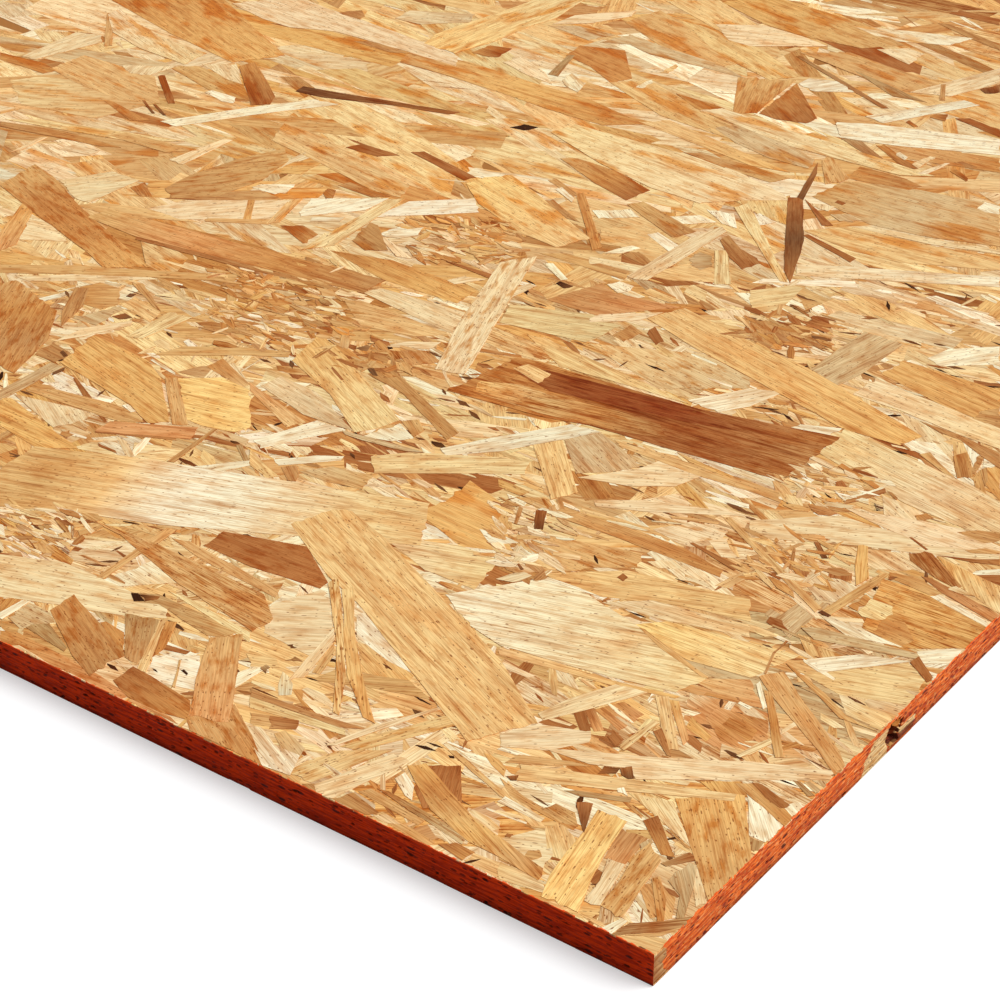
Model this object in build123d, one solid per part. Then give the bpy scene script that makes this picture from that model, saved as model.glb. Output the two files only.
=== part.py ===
"""Oriented strand board panel: one sheet, pressed from wood strands and sawn square, lying flat.

Sizes are in millimetres. +X runs along the panel, the way most of its face strands lie, +Y runs
across it and +Z is up. The origin is the middle of the underside.
"""

import os

from build123d import *

NODE = "osb_panel"

# The sheet, 4 by 8 feet and 15/32 inch thick
panel_length = 2438.0
panel_width = 1219.0
panel_thickness = 11.9

# The torn void in the sawn end at +X, where pieces of strand fell out of the core. A lip of
# strands closes it below, and a skin of face strands above.
void_from_corner = 129.0
void_lip = 1.0
void_skin = 1.3

# The layers of strand that are torn out, from the lip up. Each row holds where the tear
# starts and ends along the sawn end, counted from the void's own start, and how far it runs
# into the panel at either side.
torn_layers = [
    (3.7, 9.8, 2.4, 1.4),
    (2.6, 9.1, 3.8, 2.8),
    (1.4, 8.8, 7.5, 2.2),
    (0.3, 9.5, 6.6, 4.4),
    (0.6, 10.9, 8.0, 1.8),
    (1.0, 11.4, 6.9, 3.0),
    (1.7, 11.8, 7.6, 2.4),
    (2.4, 9.6, 5.2, 3.6),
    (3.1, 7.5, 4.4, 1.9),
]

# How much narrower a tear is at its inner end than at the sawn face, at each side
tear_taper = 0.9


def sheet():
    """The whole sheet before anything broke out of it."""
    return Box(
        panel_length,
        panel_width,
        panel_thickness,
        align=(Align.CENTER, Align.CENTER, Align.MIN),
    )


def torn_layer(level, layer_height, start, end, depth_at_start, depth_at_end):
    """The space that one layer of strand left: a four-sided tear, as high as the layer."""
    sawn_end = panel_length / 2
    corner = void_from_corner - panel_width / 2
    outline = Polyline(
        (sawn_end, corner + start),
        (sawn_end, corner + end),
        (sawn_end - depth_at_end, corner + end - tear_taper),
        (sawn_end - depth_at_start, corner + start + tear_taper),
        close=True,
    )
    profile = Plane.XY.offset(void_lip + level * layer_height) * make_face(outline)
    return extrude(profile, amount=layer_height, dir=(0, 0, 1))


def torn_void():
    """All the torn layers, one above the other, from the lip up to the skin of face strands."""
    layer_height = (panel_thickness - void_lip - void_skin) / len(torn_layers)
    return [torn_layer(level, layer_height, *row) for level, row in enumerate(torn_layers)]


def panel():
    return sheet() - torn_void()


os.makedirs("parts", exist_ok=True)
export_step(panel(), f"parts/{NODE}.step")
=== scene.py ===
"""An oriented strand board panel: pressed wood strands on both faces, sawn edges sealed in red.

Sizes are in millimetres, and MM turns them into metres. The strands that the view shows are laid by the
pixels of their corners in the 1000 by 1000 picture, and the rest of the panel is laid at random.
"""
import math
from collections import namedtuple

import bpy
import numpy as np
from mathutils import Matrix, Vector
from mathutils.bvhtree import BVHTree


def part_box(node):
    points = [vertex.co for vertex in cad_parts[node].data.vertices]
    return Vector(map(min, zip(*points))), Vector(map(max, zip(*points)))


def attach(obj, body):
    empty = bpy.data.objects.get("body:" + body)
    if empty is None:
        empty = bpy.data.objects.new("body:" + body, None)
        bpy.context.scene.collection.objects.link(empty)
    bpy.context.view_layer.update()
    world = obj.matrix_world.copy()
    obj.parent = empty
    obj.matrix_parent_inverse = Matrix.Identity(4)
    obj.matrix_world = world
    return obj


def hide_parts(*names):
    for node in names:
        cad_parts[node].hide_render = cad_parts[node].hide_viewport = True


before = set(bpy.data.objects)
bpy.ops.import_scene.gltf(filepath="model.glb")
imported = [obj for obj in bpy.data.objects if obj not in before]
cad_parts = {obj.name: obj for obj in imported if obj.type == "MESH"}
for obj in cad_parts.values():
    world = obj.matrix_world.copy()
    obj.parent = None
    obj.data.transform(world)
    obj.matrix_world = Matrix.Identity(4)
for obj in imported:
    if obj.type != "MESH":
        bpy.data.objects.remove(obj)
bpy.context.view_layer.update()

# The panel, from the frame
MM = 0.001
low, high = (np.array(corner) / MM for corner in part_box("osb_panel"))
near_corner = np.array([high[0], low[1], low[2]])

# The camera
PICTURE = 1000  # pixels along each side
SENSOR = 36.0
LENS = 93.25
AZIMUTH = 36.4  # degrees, from square on to the long edge
ELEVATION = 31.74
EYE_FROM_CORNER = np.array([284.2, -456.5, 489.4])

# The build-up of the panel, as depths below a face
FACE_RELIEF = 0.38  # from the highest strand to the lowest
CORE_DEPTH = 0.45  # to the plain core under the strands
ROOT_DEPTH = 1.2  # to where a strand's sides end, inside the core
BACK_RELIEF = 0.3  # the same three on the pressed underside
BACK_CORE_DEPTH = 0.4
BACK_ROOT_DEPTH = 0.9
LEVEL_DEPTHS = {1: 0.21, 2: 0.176, 3: 0.142, 4: 0.108, 5: 0.074, 6: 0.04, 7: 0.006}
LEVEL_JITTER = 0.006  # by how much strands of one level differ
STRAND_LEAN = 0.02  # by how much one corner lies deeper than another
SEEN_FILL = (0.24, 0.285)  # random strands between the seen ones
SAW_STAGGER = 0.14  # by how much strand ends differ along a sawn edge

# The strands that are laid at random
CROSSWISE_SHARE = 0.22  # lie any way, and the others along the panel
GRAIN_SPREAD = 18  # degrees, of those others
LENGTH_SHARES = (0.35, 1.7)  # the shortest and the longest, as shares of the usual length
WIDTH_SHARES = (0.25, 2.5)
BLUNT_ENDS = (0.55, 1.1)  # the narrowest and the widest end, as shares of a strand's width

# Boxes of pixels: left, top, right and bottom
WHOLE_VIEW = (0, 0, PICTURE, PICTURE)
FAR_VIEW = (0, 0, PICTURE, 250)  # strands look smooth here
NEAR_VIEW = (0, 280, PICTURE, PICTURE)  # chips and crumbs show here

# The rim
FINE_STEP = 0.55  # rim columns where the view is close
COARSE_STEP = 6.0
FINE_END_RUN = 215.0
FINE_LONG_RUN = 262.0
RIM_ROWS = 30
RIM_RELIEF = ((0.14, 11.0, 0.7), (0.10, 3.0, 0.45))  # depth, length and height of layers and fibres
VOID_SPAN = (127.0, 143.0)  # along the end from the near corner
# A strand end left in the void: its corners along and up the sawn end, and how deep its two ends lie
TORN_STUB = [(135.8, 7.4), (139.4, 5.0), (141.2, 5.3), (140.6, 7.8), (137.0, 9.3), (134.9, 9.6)]
STUB_DEPTHS = (0.9, 6.0)

# The sealer, by runs along the right-hand end from the near corner and by heights above the underside
FACE_SEALER_REACH = (0.16, 0.7)  # the least and the most of it, over onto a face
EDGE_SEALER_REACH = (0.45, 1.1)  # and into the edge
ARRIS_HIGHLIGHT_DEPTHS = (0.9, 0.3)  # a painted highlight along the arris comes in below the face, and is brightest
CHIP_DEPTHS = (0.55, 0.45)  # chips in that line, in the same way
# how high the painted shade at the foot of an edge reaches
FLOOR_SHADE_HEIGHT = 2.6
BARE_WANDER = 5.0  # by how much the border of a bare patch strays
BARE_CORNER_RUN = 6.3
DARKER_CORNER_RUN = 14.0  # browner wood, from the corner
BARE_PATCH_RUN = (112.0, 131.0)  # before the void
BARE_PATCH_SLOPE = 0.95
BARE_PATCH_TOP = 10.0
BARE_WEDGE_RUN = (143.3, 5.2)  # past the void: its middle, and how far to each side
BARE_WEDGE_HEIGHT = (4.1, 1.2)
SHADED_LOW_PATCH_RUN = (142.0, 6.0)  # painted shade low down there, in the same way
SHADED_LOW_PATCH_HEIGHTS = (3.8, 3.0)  # where it comes in, and is darkest
PIT_SHADE_DEPTHS = (0.22, 0.5)  # the same for the painted shade of the pits, as depths behind the sawn face
# and for the painted shade of the torn void
VOID_SHADE_DEPTHS = (1.3, 1.8)
HIDDEN_DEPTH = 12.0  # from here on the core is under the strands

# The studio
FLOOR_REACH = 30.0  # metres
FLOOR_GAP = 0.05
KEY_STRENGTH = 3.75
KEY_SPREAD = 50  # degrees
KEY_FROM = (0.62, 0.45, 0.74)
SURROUND_STRENGTH = 0.32  # on the panel; to the eye it is white

WOOD_TONES = {
    "pale": "#fff4cf",
    "cream": "#f7ddac",
    "straw": "#f7db9f",
    "honey": "#f3cc8c",
    "amber": "#efbd73",
    "gold": "#ffd98c",
    "tan": "#e1b374",
    "rosy": "#e6ab6f",
    "rust": "#d39654",
    "grey": "#ddbf8d",
    "drab": "#c39c68",
    "brown": "#cb975d",
    "umber": "#b2733f",
    "russet": "#a0552a",
    "dark": "#7d5230",
    # the darkest tone is painted shade, for small pieces laid in shadowed gaps between strands
    "gap": "#40230f",
}
TONE_SHARES = {
    "pale": 0.07, "cream": 0.22, "straw": 0.15, "honey": 0.24, "amber": 0.09,
    "tan": 0.10, "grey": 0.03, "rust": 0.03, "brown": 0.05, "umber": 0.02,
}
CHIP_SHARES = {
    "pale": 0.20, "cream": 0.28, "straw": 0.12, "honey": 0.14, "amber": 0.05,
    "tan": 0.08, "grey": 0.02, "rust": 0.04, "brown": 0.05, "umber": 0.02,
}
# tones of tiny slivers: partly darker wood, and partly painted shade in the crevices between small pieces
CREVICE_SHARES = {"umber": 0.4, "dark": 0.35, "gap": 0.25}
PALE_CRUMBS = {"pale": 0.2, "cream": 0.3, "honey": 0.2, "tan": 0.16, "brown": 0.1, "umber": 0.04}
RUSTY_CRUMBS = {
    "cream": 0.14, "honey": 0.2, "amber": 0.1, "tan": 0.24, "rust": 0.2, "brown": 0.08, "umber": 0.04,
}
BROWN_CRUMBS = {"honey": 0.1, "tan": 0.2, "rust": 0.2, "brown": 0.25, "umber": 0.2, "dark": 0.05}
# Where the strands broke up into crumbs, as boxes of pixels
CRUMB_ZONES = [
    ((225, 264, 345, 345), RUSTY_CRUMBS),
    ((500, 500, 560, 562), PALE_CRUMBS),
    ((0, 506, 80, 548), PALE_CRUMBS),
    ((748, 312, 822, 346), BROWN_CRUMBS),
    ((332, 345, 400, 372), BROWN_CRUMBS),
    ((745, 540, 830, 585), RUSTY_CRUMBS),
    ((788, 468, 866, 506), PALE_CRUMBS),
    ((415, 220, 520, 258), RUSTY_CRUMBS),
    ((512, 552, 545, 578), PALE_CRUMBS),
]
# How much grain, speck and stain a strand shows
FIGURES = {
    "plain": (0.62, 0.45, 0.32),
    "smooth": (0.50, 0.50, 0.85),
    "fine": (0.44, 0.50, 0.26),
    "specky": (0.46, 0.85, 0.18),
    "stained": (0.50, 0.28, 0.75),
    "streaked": (1.00, 0.80, 0.50),
}

# Strands in view: tones along the grain and figure, level from 1 (lowest) to 7, then the corners in turn, as
# pixels of the picture. The first two corners are one cut end, and the grain runs away from it.
SEEN_STRANDS = [
    # The near corner
    ("amber>tan specky", 4, (675, 798), (745, 795), (752, 858), (709, 902)),
    ("amber>rust", 3, (700, 781), (742, 781), (748, 797), (715, 793)),
    ("pale", 4, (748, 796), (762, 806), (783, 827), (765, 842), (749, 835)),
    ("drab", 3, (749, 836), (764, 842), (758, 850), (751, 850)),
    ("tan>rust", 4, (735, 783), (752, 783), (795, 815), (785, 826), (765, 810)),
    ("umber", 5, (752, 782), (762, 784), (790, 805), (780, 808), (766, 798)),
    ("pale", 4, (783, 806), (800, 802), (805, 808), (792, 816)),
    ("drab", 4, (793, 780), (800, 781), (815, 795), (808, 796)),
    ("grey", 4, (804, 782), (810, 781), (822, 790), (816, 793)),
    ("grey", 4, (812, 780), (830, 782), (826, 788)),
    ("drab>umber>drab streaked", 5, (611, 935), (629, 923), (660, 921), (695, 916), (690, 925), (660, 932)),
    ("tan", 4, (625, 935), (660, 931), (686, 926), (660, 936)),
    ("pale", 5, (600, 928), (610, 935), (628, 921), (622, 918)),
    ("tan>rust specky", 5, (652, 878), (660, 876), (666, 900), (664, 921), (657, 921)),
    ("grey>drab", 4, (668, 880), (690, 862), (697, 866), (693, 890), (684, 918), (676, 918), (680, 895)),
    ("tan", 2, (640, 888), (655, 878), (676, 895), (672, 918), (650, 918)),
    ("tan specky", 5, (650, 842), (661, 860), (640, 890), (622, 917), (600, 905), (620, 880), (635, 855)),
    ("gold", 4, (598, 809), (627, 821), (610, 845), (590, 882), (578, 912), (541, 896), (549, 876),
     (566, 852), (586, 828)),
    ("brown>rosy", 3, (622, 828), (648, 838), (625, 864), (604, 858)),
    ("cream", 4, (608, 858), (625, 864), (600, 905), (584, 900), (600, 880)),
    ("umber>rust", 4, (643, 820), (658, 815), (675, 857), (661, 854)),
    ("drab>umber", 5, (666, 866), (661, 863), (690, 852), (695, 860)),
    ("umber>dark", 4, (576, 802), (593, 803), (584, 833), (580, 820)),
    ("honey>straw", 5, (517, 780), (520, 764), (737, 794), (734, 801)),
    ("cream", 5, (590, 764), (540, 747), (667, 758), (750, 761), (838, 771), (830, 779), (750, 780),
     (636, 779), (632, 768)),
    ("tan", 3, (505, 762), (519, 754), (572, 761), (591, 766), (548, 765)),
    ("umber>dark", 5, (598, 773), (604, 766), (620, 768), (616, 773)),
    ("umber>dark", 5, (620, 768), (632, 766), (634, 778), (622, 775)),
    ("amber>rust>tan>amber>tan>rust", 5, (407, 765), (426, 763), (448, 788), (473, 817), (543, 868),
     (538, 880), (500, 857),
     (468, 841), (430, 809)),
    ("cream", 2, (674, 844), (690, 852), (675, 855)),
    ("cream", 2, (690, 866), (699, 864), (707, 903), (696, 906)),
    ("honey", 1, (612, 936), (640, 926), (679, 928), (666, 946), (653, 956)),
    ("tan>rust", 3, (510, 795), (500, 777), (524, 796), (578, 825), (573, 830), (543, 814)),
    ("honey", 2, (500, 793), (508, 780), (545, 826), (532, 826)),
    ("drab", 3, (564, 790), (575, 790), (632, 797), (630, 802), (580, 796)),
    ("brown>tan specky", 3, (540, 808), (556, 803), (575, 812), (578, 826), (560, 822)),
    ("pale", 5, (617, 788), (624, 787), (628, 796), (618, 792)),
    ("straw>cream", 3, (628, 792), (674, 801), (691, 847), (660, 819)),
    ("brown", 3, (667, 828), (672, 830), (690, 849), (685, 847)),
    ("grey", 3, (639, 844), (651, 838), (653, 842), (642, 852)),
    ("cream", 2, (500, 850), (500, 838), (548, 826), (553, 854), (540, 871)),
    ("honey>cream", 2, (500, 879), (500, 861), (540, 879), (546, 893)),
    # Along the front edge, to the left of the corner
    ("umber", 3, (427, 765), (461, 765), (462, 802), (423, 808), (414, 787)),
    ("brown>drab>grey streaked", 4, (377, 788), (389, 791), (468, 836), (462, 844)),
    ("tan", 3, (358, 791), (371, 788), (425, 820), (418, 825)),
    ("brown", 2, (331, 798), (354, 792), (382, 814), (365, 814)),
    ("cream", 3, (318, 795), (314, 784), (393, 753), (409, 761), (333, 798)),
    ("straw>tan specky", 2, (311, 782), (282, 769), (339, 750), (393, 750)),
    ("cream", 3, (288, 771), (280, 769), (306, 755), (313, 756)),
    ("tan>honey", 4, (448, 750), (456, 750), (500, 788), (512, 800), (500, 796)),
    ("umber>rust", 3, (438, 844), (456, 842), (475, 852), (462, 860)),
    ("tan", 2, (373, 814), (383, 811), (435, 842), (427, 846)),
    ("cream", 3, (373, 815), (387, 814), (401, 824), (384, 822)),
    ("honey", 1, (464, 860), (473, 852), (500, 862), (500, 879)),
    # The left corner of the view
    ("honey>tan>honey>pale>pale>cream>straw>honey", 4, (-40, 495), (35, 446), (134, 457), (250, 475),
     (430, 503), (420, 545), (250, 532),
     (159, 524), (80, 513), (0, 506)),
    ("tan streaked", 5, (121, 535), (83, 516), (160, 545), (264, 594), (273, 618), (252, 631), (178, 583)),
    ("straw", 3, (169, 591), (191, 599), (250, 632), (250, 642), (207, 615)),
    ("drab>tan", 4, (135, 601), (131, 592), (159, 594), (206, 615), (237, 632), (223, 637), (207, 635),
     (159, 604)),
    ("gap", 6, (131, 593), (138, 593), (145, 601), (134, 601)),
    ("gap>umber", 5, (138, 594), (145, 601), (158, 599), (160, 596)),
    ("cream", 3, (-30, 592), (-30, 550), (64, 562), (120, 586), (167, 608), (167, 618), (124, 615),
     (56, 604)),
    ("rust>brown specky", 5, (50, 610), (74, 594), (78, 600), (100, 623), (125, 655), (112, 660), (90, 676),
     (72, 655), (60, 630)),
    ("drab", 4, (26, 627), (49, 623), (67, 647), (64, 651)),
    ("drab>brown specky", 4, (125, 613), (162, 620), (148, 650), (137, 663), (125, 657)),
    ("rust", 4, (166, 621), (177, 622), (165, 648), (152, 657)),
    ("straw", 5, (160, 619), (166, 621), (146, 672), (137, 668)),
    ("tan>rosy specky", 5, (210, 637), (243, 634), (236, 680), (232, 706), (228, 722), (188, 716),
     (199, 668)),
    ("umber>rust specky", 4, (113, 680), (133, 666), (152, 676), (190, 700), (190, 720), (160, 712),
     (128, 697)),
    ("tan>rust specky", 3, (185, 715), (235, 705), (252, 735), (262, 765), (222, 745), (190, 730)),
    ("rosy", 3, (128, 700), (135, 698), (170, 716), (178, 724)),
    ("cream>pale", 3, (244, 724), (262, 727), (275, 745), (300, 755), (290, 775), (262, 765)),
    ("tan>grey", 3, (274, 733), (285, 730), (305, 748), (300, 756), (282, 750)),
    ("pale", 3, (232, 690), (238, 672), (262, 663), (270, 666), (250, 678)),
    ("drab>dark", 4, (260, 668), (266, 664), (270, 667), (266, 673)),
    ("drab", 4, (285, 660), (295, 656), (303, 661), (292, 660)),
    ("pale", 2, (148, 678), (152, 655), (200, 655), (198, 690), (165, 684)),
    ("tan", 5, (181, 660), (179, 659), (172, 686), (175, 687)),
    ("gap", 4, (181, 670), (184, 669), (188, 673), (187, 675)),
    ("umber", 3, (163, 649), (166, 644), (190, 651), (186, 654)),
    ("rust>rosy specky", 2, (0, 645), (0, 630), (18, 632), (66, 656), (100, 675), (130, 695), (122, 698),
     (60, 668)),
    ("grey specky", 3, (8, 617), (30, 602), (50, 612), (55, 622), (20, 628)),
    ("rust", 3, (0, 596), (22, 599), (0, 612)),
    ("pale", 5, (0, 612), (2, 619), (30, 601), (22, 600)),
    ("rust specky", 3, (100, 622), (106, 621), (124, 632), (122, 655), (112, 640)),
    ("umber specky", 3, (203, 545), (223, 531), (307, 546), (328, 582), (320, 588), (250, 566)),
    ("tan", 3, (172, 538), (190, 541), (279, 590), (275, 597), (202, 560)),
    ("pale>cream fine", 2, (102, 580), (151, 561), (177, 583), (121, 586)),
    ("tan", 3, (96, 577), (104, 578), (177, 530), (167, 527)),
    ("cream", 3, (85, 548), (131, 539), (131, 542), (96, 550)),
    ("umber", 3, (67, 549), (72, 544), (84, 547), (78, 551)),
    # Left of the middle
    ("honey", 5, (291, 524), (333, 509), (352, 511), (384, 537), (441, 596), (500, 659), (538, 723),
     (500, 732),
     (467, 741), (433, 699), (389, 643), (357, 602), (328, 576)),
    ("honey streaked", 6, (328, 583), (338, 576), (346, 644), (345, 680), (339, 715), (333, 712), (337, 644)),
    ("honey>amber", 6, (342, 589), (354, 585), (355, 635), (364, 683), (375, 723), (363, 717), (347, 675)),
    ("tan", 3, (319, 681), (314, 678), (336, 669), (409, 680), (430, 699), (365, 686)),
    ("honey>amber", 2, (357, 642), (371, 645), (414, 675), (409, 682), (362, 672)),
    ("pale", 2, (357, 637), (357, 604), (378, 627), (411, 672), (389, 661)),
    ("cream", 2, (264, 632), (271, 604), (322, 589), (330, 602), (334, 635), (311, 656)),
    ("cream", 3, (334, 627), (335, 640), (304, 677), (288, 680)),
    ("tan>honey", 3, (320, 674), (312, 672), (334, 642), (335, 653)),
    ("brown", 4, (250, 696), (250, 688), (298, 707), (342, 721), (370, 729), (340, 727)),
    ("straw", 3, (250, 707), (250, 696), (345, 729), (345, 735)),
    ("tan", 3, (250, 723), (250, 712), (298, 720), (296, 729)),
    ("brown>umber", 4, (269, 728), (270, 715), (299, 720), (296, 729)),
    ("cream", 4, (336, 745), (325, 745), (371, 726), (438, 707), (441, 709)),
    ("honey specky", 3, (361, 750), (339, 746), (448, 714), (456, 725)),
    ("amber stained", 3, (416, 511), (446, 501), (470, 480), (505, 505), (512, 560), (497, 550),
     (460, 546), (433, 524)),
    ("cream>straw", 3, (424, 569), (382, 535), (460, 545), (500, 560), (474, 589)),
    ("honey", 3, (250, 666), (250, 650), (277, 659), (280, 667)),
    # The middle
    ("tan>rust", 4, (515, 497), (545, 497), (580, 513), (628, 527), (685, 548), (723, 570), (720, 577),
     (667, 556),
     (620, 538), (559, 517)),
    ("tan specky", 2, (511, 537), (532, 532), (643, 553), (637, 567), (596, 567), (541, 573)),
    ("honey", 3, (560, 583), (543, 573), (628, 570), (750, 599), (750, 621), (680, 605), (599, 596)),
    ("pale>straw", 4, (470, 625), (445, 594), (541, 578), (575, 586), (640, 627), (707, 678), (676, 692),
     (612, 677), (500, 645)),
    ("honey>amber", 3, (500, 655), (500, 647), (548, 659), (612, 680), (680, 696), (675, 698), (612, 685),
     (548, 667)),
    ("tan", 5, (639, 627), (645, 629), (680, 655), (709, 678), (702, 677), (659, 647)),
    ("gold>straw", 3, (635, 624), (667, 621), (750, 642), (800, 655), (750, 677), (686, 659)),
    ("cream>straw", 3, (602, 602), (653, 600), (750, 626), (750, 637), (667, 620)),
    ("cream>rosy>rosy>rosy>honey", 1, (684, 716), (690, 692), (750, 706), (772, 714), (772, 740), (740, 758),
     (700, 758), (686, 738)),
    ("honey", 4, (655, 694), (669, 696), (679, 750), (666, 750)),
    ("amber>rosy", 4, (669, 699), (679, 701), (689, 739), (683, 745)),
    ("cream", 4, (543, 720), (538, 713), (570, 698), (616, 684), (648, 692), (596, 707)),
    ("umber", 3, (572, 709), (583, 706), (591, 730), (580, 730)),
    ("umber>rosy", 3, (583, 707), (594, 707), (604, 730), (594, 731)),
    ("umber", 3, (607, 736), (612, 728), (624, 739), (615, 746)),
    ("rust>rosy", 2, (594, 709), (624, 701), (644, 714), (618, 730)),
    ("straw", 4, (624, 750), (618, 746), (653, 720), (659, 723)),
    ("cream", 3, (500, 746), (500, 734), (532, 723), (591, 731), (589, 742), (548, 750)),
    ("umber", 2, (538, 722), (554, 714), (578, 726), (564, 730)),
    ("umber>dark", 6, (536, 510), (547, 511), (543, 529), (534, 529)),
    ("brown", 6, (519, 506), (523, 508), (517, 524), (514, 523)),
    ("cream", 3, (596, 506), (594, 500), (640, 500), (723, 510), (750, 516), (643, 511)),
    ("tan", 3, (672, 518), (669, 515), (720, 521), (718, 524)),
    ("tan>honey", 5, (723, 517), (731, 517), (790, 576), (822, 608), (815, 612), (750, 545)),
    ("umber", 4, (690, 543), (693, 542), (741, 567), (734, 570)),
    ("honey>grey", 3, (728, 588), (715, 585), (755, 565), (755, 574)),
    ("umber", 5, (617, 577), (623, 573), (628, 577), (623, 581)),
    ("cream", 2, (647, 561), (675, 559), (682, 568), (659, 568)),
    ("cream specky", 2, (653, 529), (691, 521), (729, 529), (723, 538), (680, 543)),
    # Along the right-hand edge
    ("cream", 3, (750, 537), (750, 520), (840, 515), (895, 532), (1000, 556), (1000, 564), (909, 552),
     (838, 543)),
    ("brown streaked", 4, (909, 553), (932, 553), (962, 586), (956, 588), (936, 578), (910, 560)),
    ("umber>rosy", 4, (921, 576), (932, 578), (1000, 615), (995, 623), (941, 592)),
    ("amber streaked", 3, (862, 627), (882, 578), (941, 596), (989, 626), (968, 648), (900, 648)),
    ("tan", 4, (818, 612), (830, 615), (877, 585), (890, 573), (881, 573)),
    ("pale", 4, (820, 615), (833, 617), (903, 647), (846, 635)),
    ("grey", 4, (814, 639), (801, 627), (818, 627), (917, 653), (919, 659), (900, 656)),
    ("pale", 3, (820, 672), (806, 659), (862, 654), (911, 661)),
    ("pale", 2, (922, 663), (917, 651), (954, 648), (962, 650), (949, 663)),
    ("umber", 5, (910, 662), (919, 656), (933, 677), (927, 682)),
    ("honey>straw", 2, (796, 669), (826, 672), (909, 662), (925, 680), (909, 705), (839, 694)),
    ("tan", 5, (759, 676), (784, 671), (798, 693), (839, 750), (845, 765), (835, 775), (818, 750),
     (774, 698)),
    ("rust>honey", 5, (786, 663), (791, 666), (825, 693), (846, 715), (877, 731), (840, 718)),
    ("drab", 3, (798, 686), (817, 688), (841, 699), (825, 698)),
    ("brown", 5, (788, 641), (786, 640), (775, 653), (766, 674), (764, 673), (773, 652)),
    ("tan>rust>tan", 5, (764, 690), (772, 691), (778, 720), (784, 757), (775, 757), (770, 725), (767, 705)),
    ("umber>dark", 5, (814, 542), (819, 542), (828, 558), (822, 558)),
    ("umber", 4, (830, 570), (852, 573), (852, 580), (828, 577)),
    ("brown>umber", 4, (784, 563), (811, 570), (806, 577), (790, 568)),
    ("amber", 5, (858, 545), (868, 546), (869, 578), (856, 585), (855, 564)),
    ("honey>cream", 2, (820, 543), (908, 553), (920, 570), (877, 569)),
    ("amber>straw", 3, (937, 556), (1000, 586), (1000, 612), (962, 588)),
    ("umber>brown", 5, (938, 555), (976, 559), (1000, 559), (1000, 565), (973, 562)),
    ("tan>brown", 5, (957, 532), (976, 530), (1000, 532), (1000, 540), (984, 543)),
    # Behind the middle
    ("rust>rust>umber>umber>brown streaked", 5, (447, 390), (517, 357), (540, 361), (590, 377),
     (700, 409), (840, 437),
     (781, 480), (700, 457), (630, 437), (590, 425), (540, 416)),
    ("umber>russet>russet>umber streaked", 6, (519, 374), (526, 371), (548, 370), (656, 398), (707, 414),
     (755, 434),
     (691, 423), (618, 406), (550, 391)),
    ("amber>honey>tan>rust>brown>umber streaked", 6, (470, 391), (480, 381), (520, 384), (550, 395),
     (618, 411),
     (660, 424), (668, 440), (601, 427), (540, 413), (519, 406)),
    ("honey", 7, (513, 368), (529, 364), (551, 374), (538, 383)),
    ("pale", 5, (446, 455), (440, 448), (500, 436), (572, 424), (602, 432), (500, 451)),
    ("pale>cream", 4, (718, 412), (688, 400), (750, 388), (783, 392), (750, 406)),
    ("honey>tan", 4, (620, 446), (614, 439), (643, 448), (750, 481), (791, 496), (780, 502), (750, 491),
     (691, 473)),
    ("tan>amber", 4, (690, 462), (677, 452), (734, 476), (730, 478)),
    ("grey", 3, (564, 438), (602, 433), (632, 457), (640, 467), (604, 472), (576, 473)),
    ("honey", 4, (533, 444), (562, 440), (578, 492), (551, 499)),
    ("cream", 3, (578, 477), (639, 468), (663, 459), (704, 475), (675, 486), (631, 486)),
    ("straw", 4, (500, 322), (510, 304), (592, 314), (621, 326), (586, 342)),
    ("brown>rosy", 3, (546, 299), (602, 283), (616, 293), (680, 307), (596, 315)),
    ("honey>amber", 5, (647, 318), (685, 308), (750, 341), (814, 371), (922, 436), (900, 445), (844, 429),
     (750, 377),
     (699, 350)),
    ("brown", 3, (612, 335), (631, 324), (642, 332), (624, 341)),
    ("umber", 3, (647, 333), (655, 326), (664, 341), (656, 345)),
    ("pale", 4, (543, 263), (553, 263), (568, 279), (561, 280)),
    ("cream", 5, (647, 280), (627, 276), (690, 238), (722, 226), (727, 231), (694, 252)),
    ("straw", 4, (715, 250), (728, 250), (731, 284), (714, 284)),
    ("tan", 3, (540, 253), (567, 253), (635, 272), (624, 279)),
    ("cream", 2, (704, 311), (750, 309), (750, 318), (718, 319)),
    ("honey>straw", 3, (527, 334), (545, 338), (669, 393), (688, 403), (635, 387), (560, 366)),
    ("honey>grey specky", 2, (589, 343), (707, 354), (750, 378), (750, 388), (659, 388)),
    # Left of that
    ("cream>cream>cream specky", 5, (435, 369), (464, 374), (473, 362), (510, 300), (537, 256),
     (500, 262), (481, 290),
     (454, 331)),
    ("amber>straw", 5, (292, 360), (320, 333), (340, 350), (400, 420), (374, 429), (354, 432), (330, 394)),
    ("cream>grey fine", 4, (260, 385), (282, 376), (317, 392), (354, 431), (303, 414)),
    ("brown", 4, (368, 374), (389, 365), (459, 432), (446, 439), (403, 393)),
    ("umber", 3, (336, 365), (346, 352), (381, 347), (392, 358), (371, 368)),
    ("brown specky", 2, (393, 350), (430, 350), (440, 362), (408, 365)),
    ("cream", 3, (379, 346), (409, 341), (441, 342), (428, 349)),
    ("tan>rosy>rust>brown", 6, (88, 217), (112, 209), (250, 246), (386, 280), (363, 293), (322, 283),
     (250, 265),
     (191, 250), (135, 236)),
    ("cream", 4, (363, 292), (382, 288), (465, 312), (452, 333), (422, 320)),
    ("umber", 5, (446, 261), (452, 262), (492, 274), (489, 278)),
    ("rust>amber", 3, (330, 250), (393, 260), (476, 291), (457, 303), (385, 280)),
    ("pale", 4, (260, 448), (253, 440), (317, 420), (346, 430), (304, 438)),
    ("pale", 3, (279, 465), (274, 459), (317, 455), (344, 456), (341, 460)),
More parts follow.
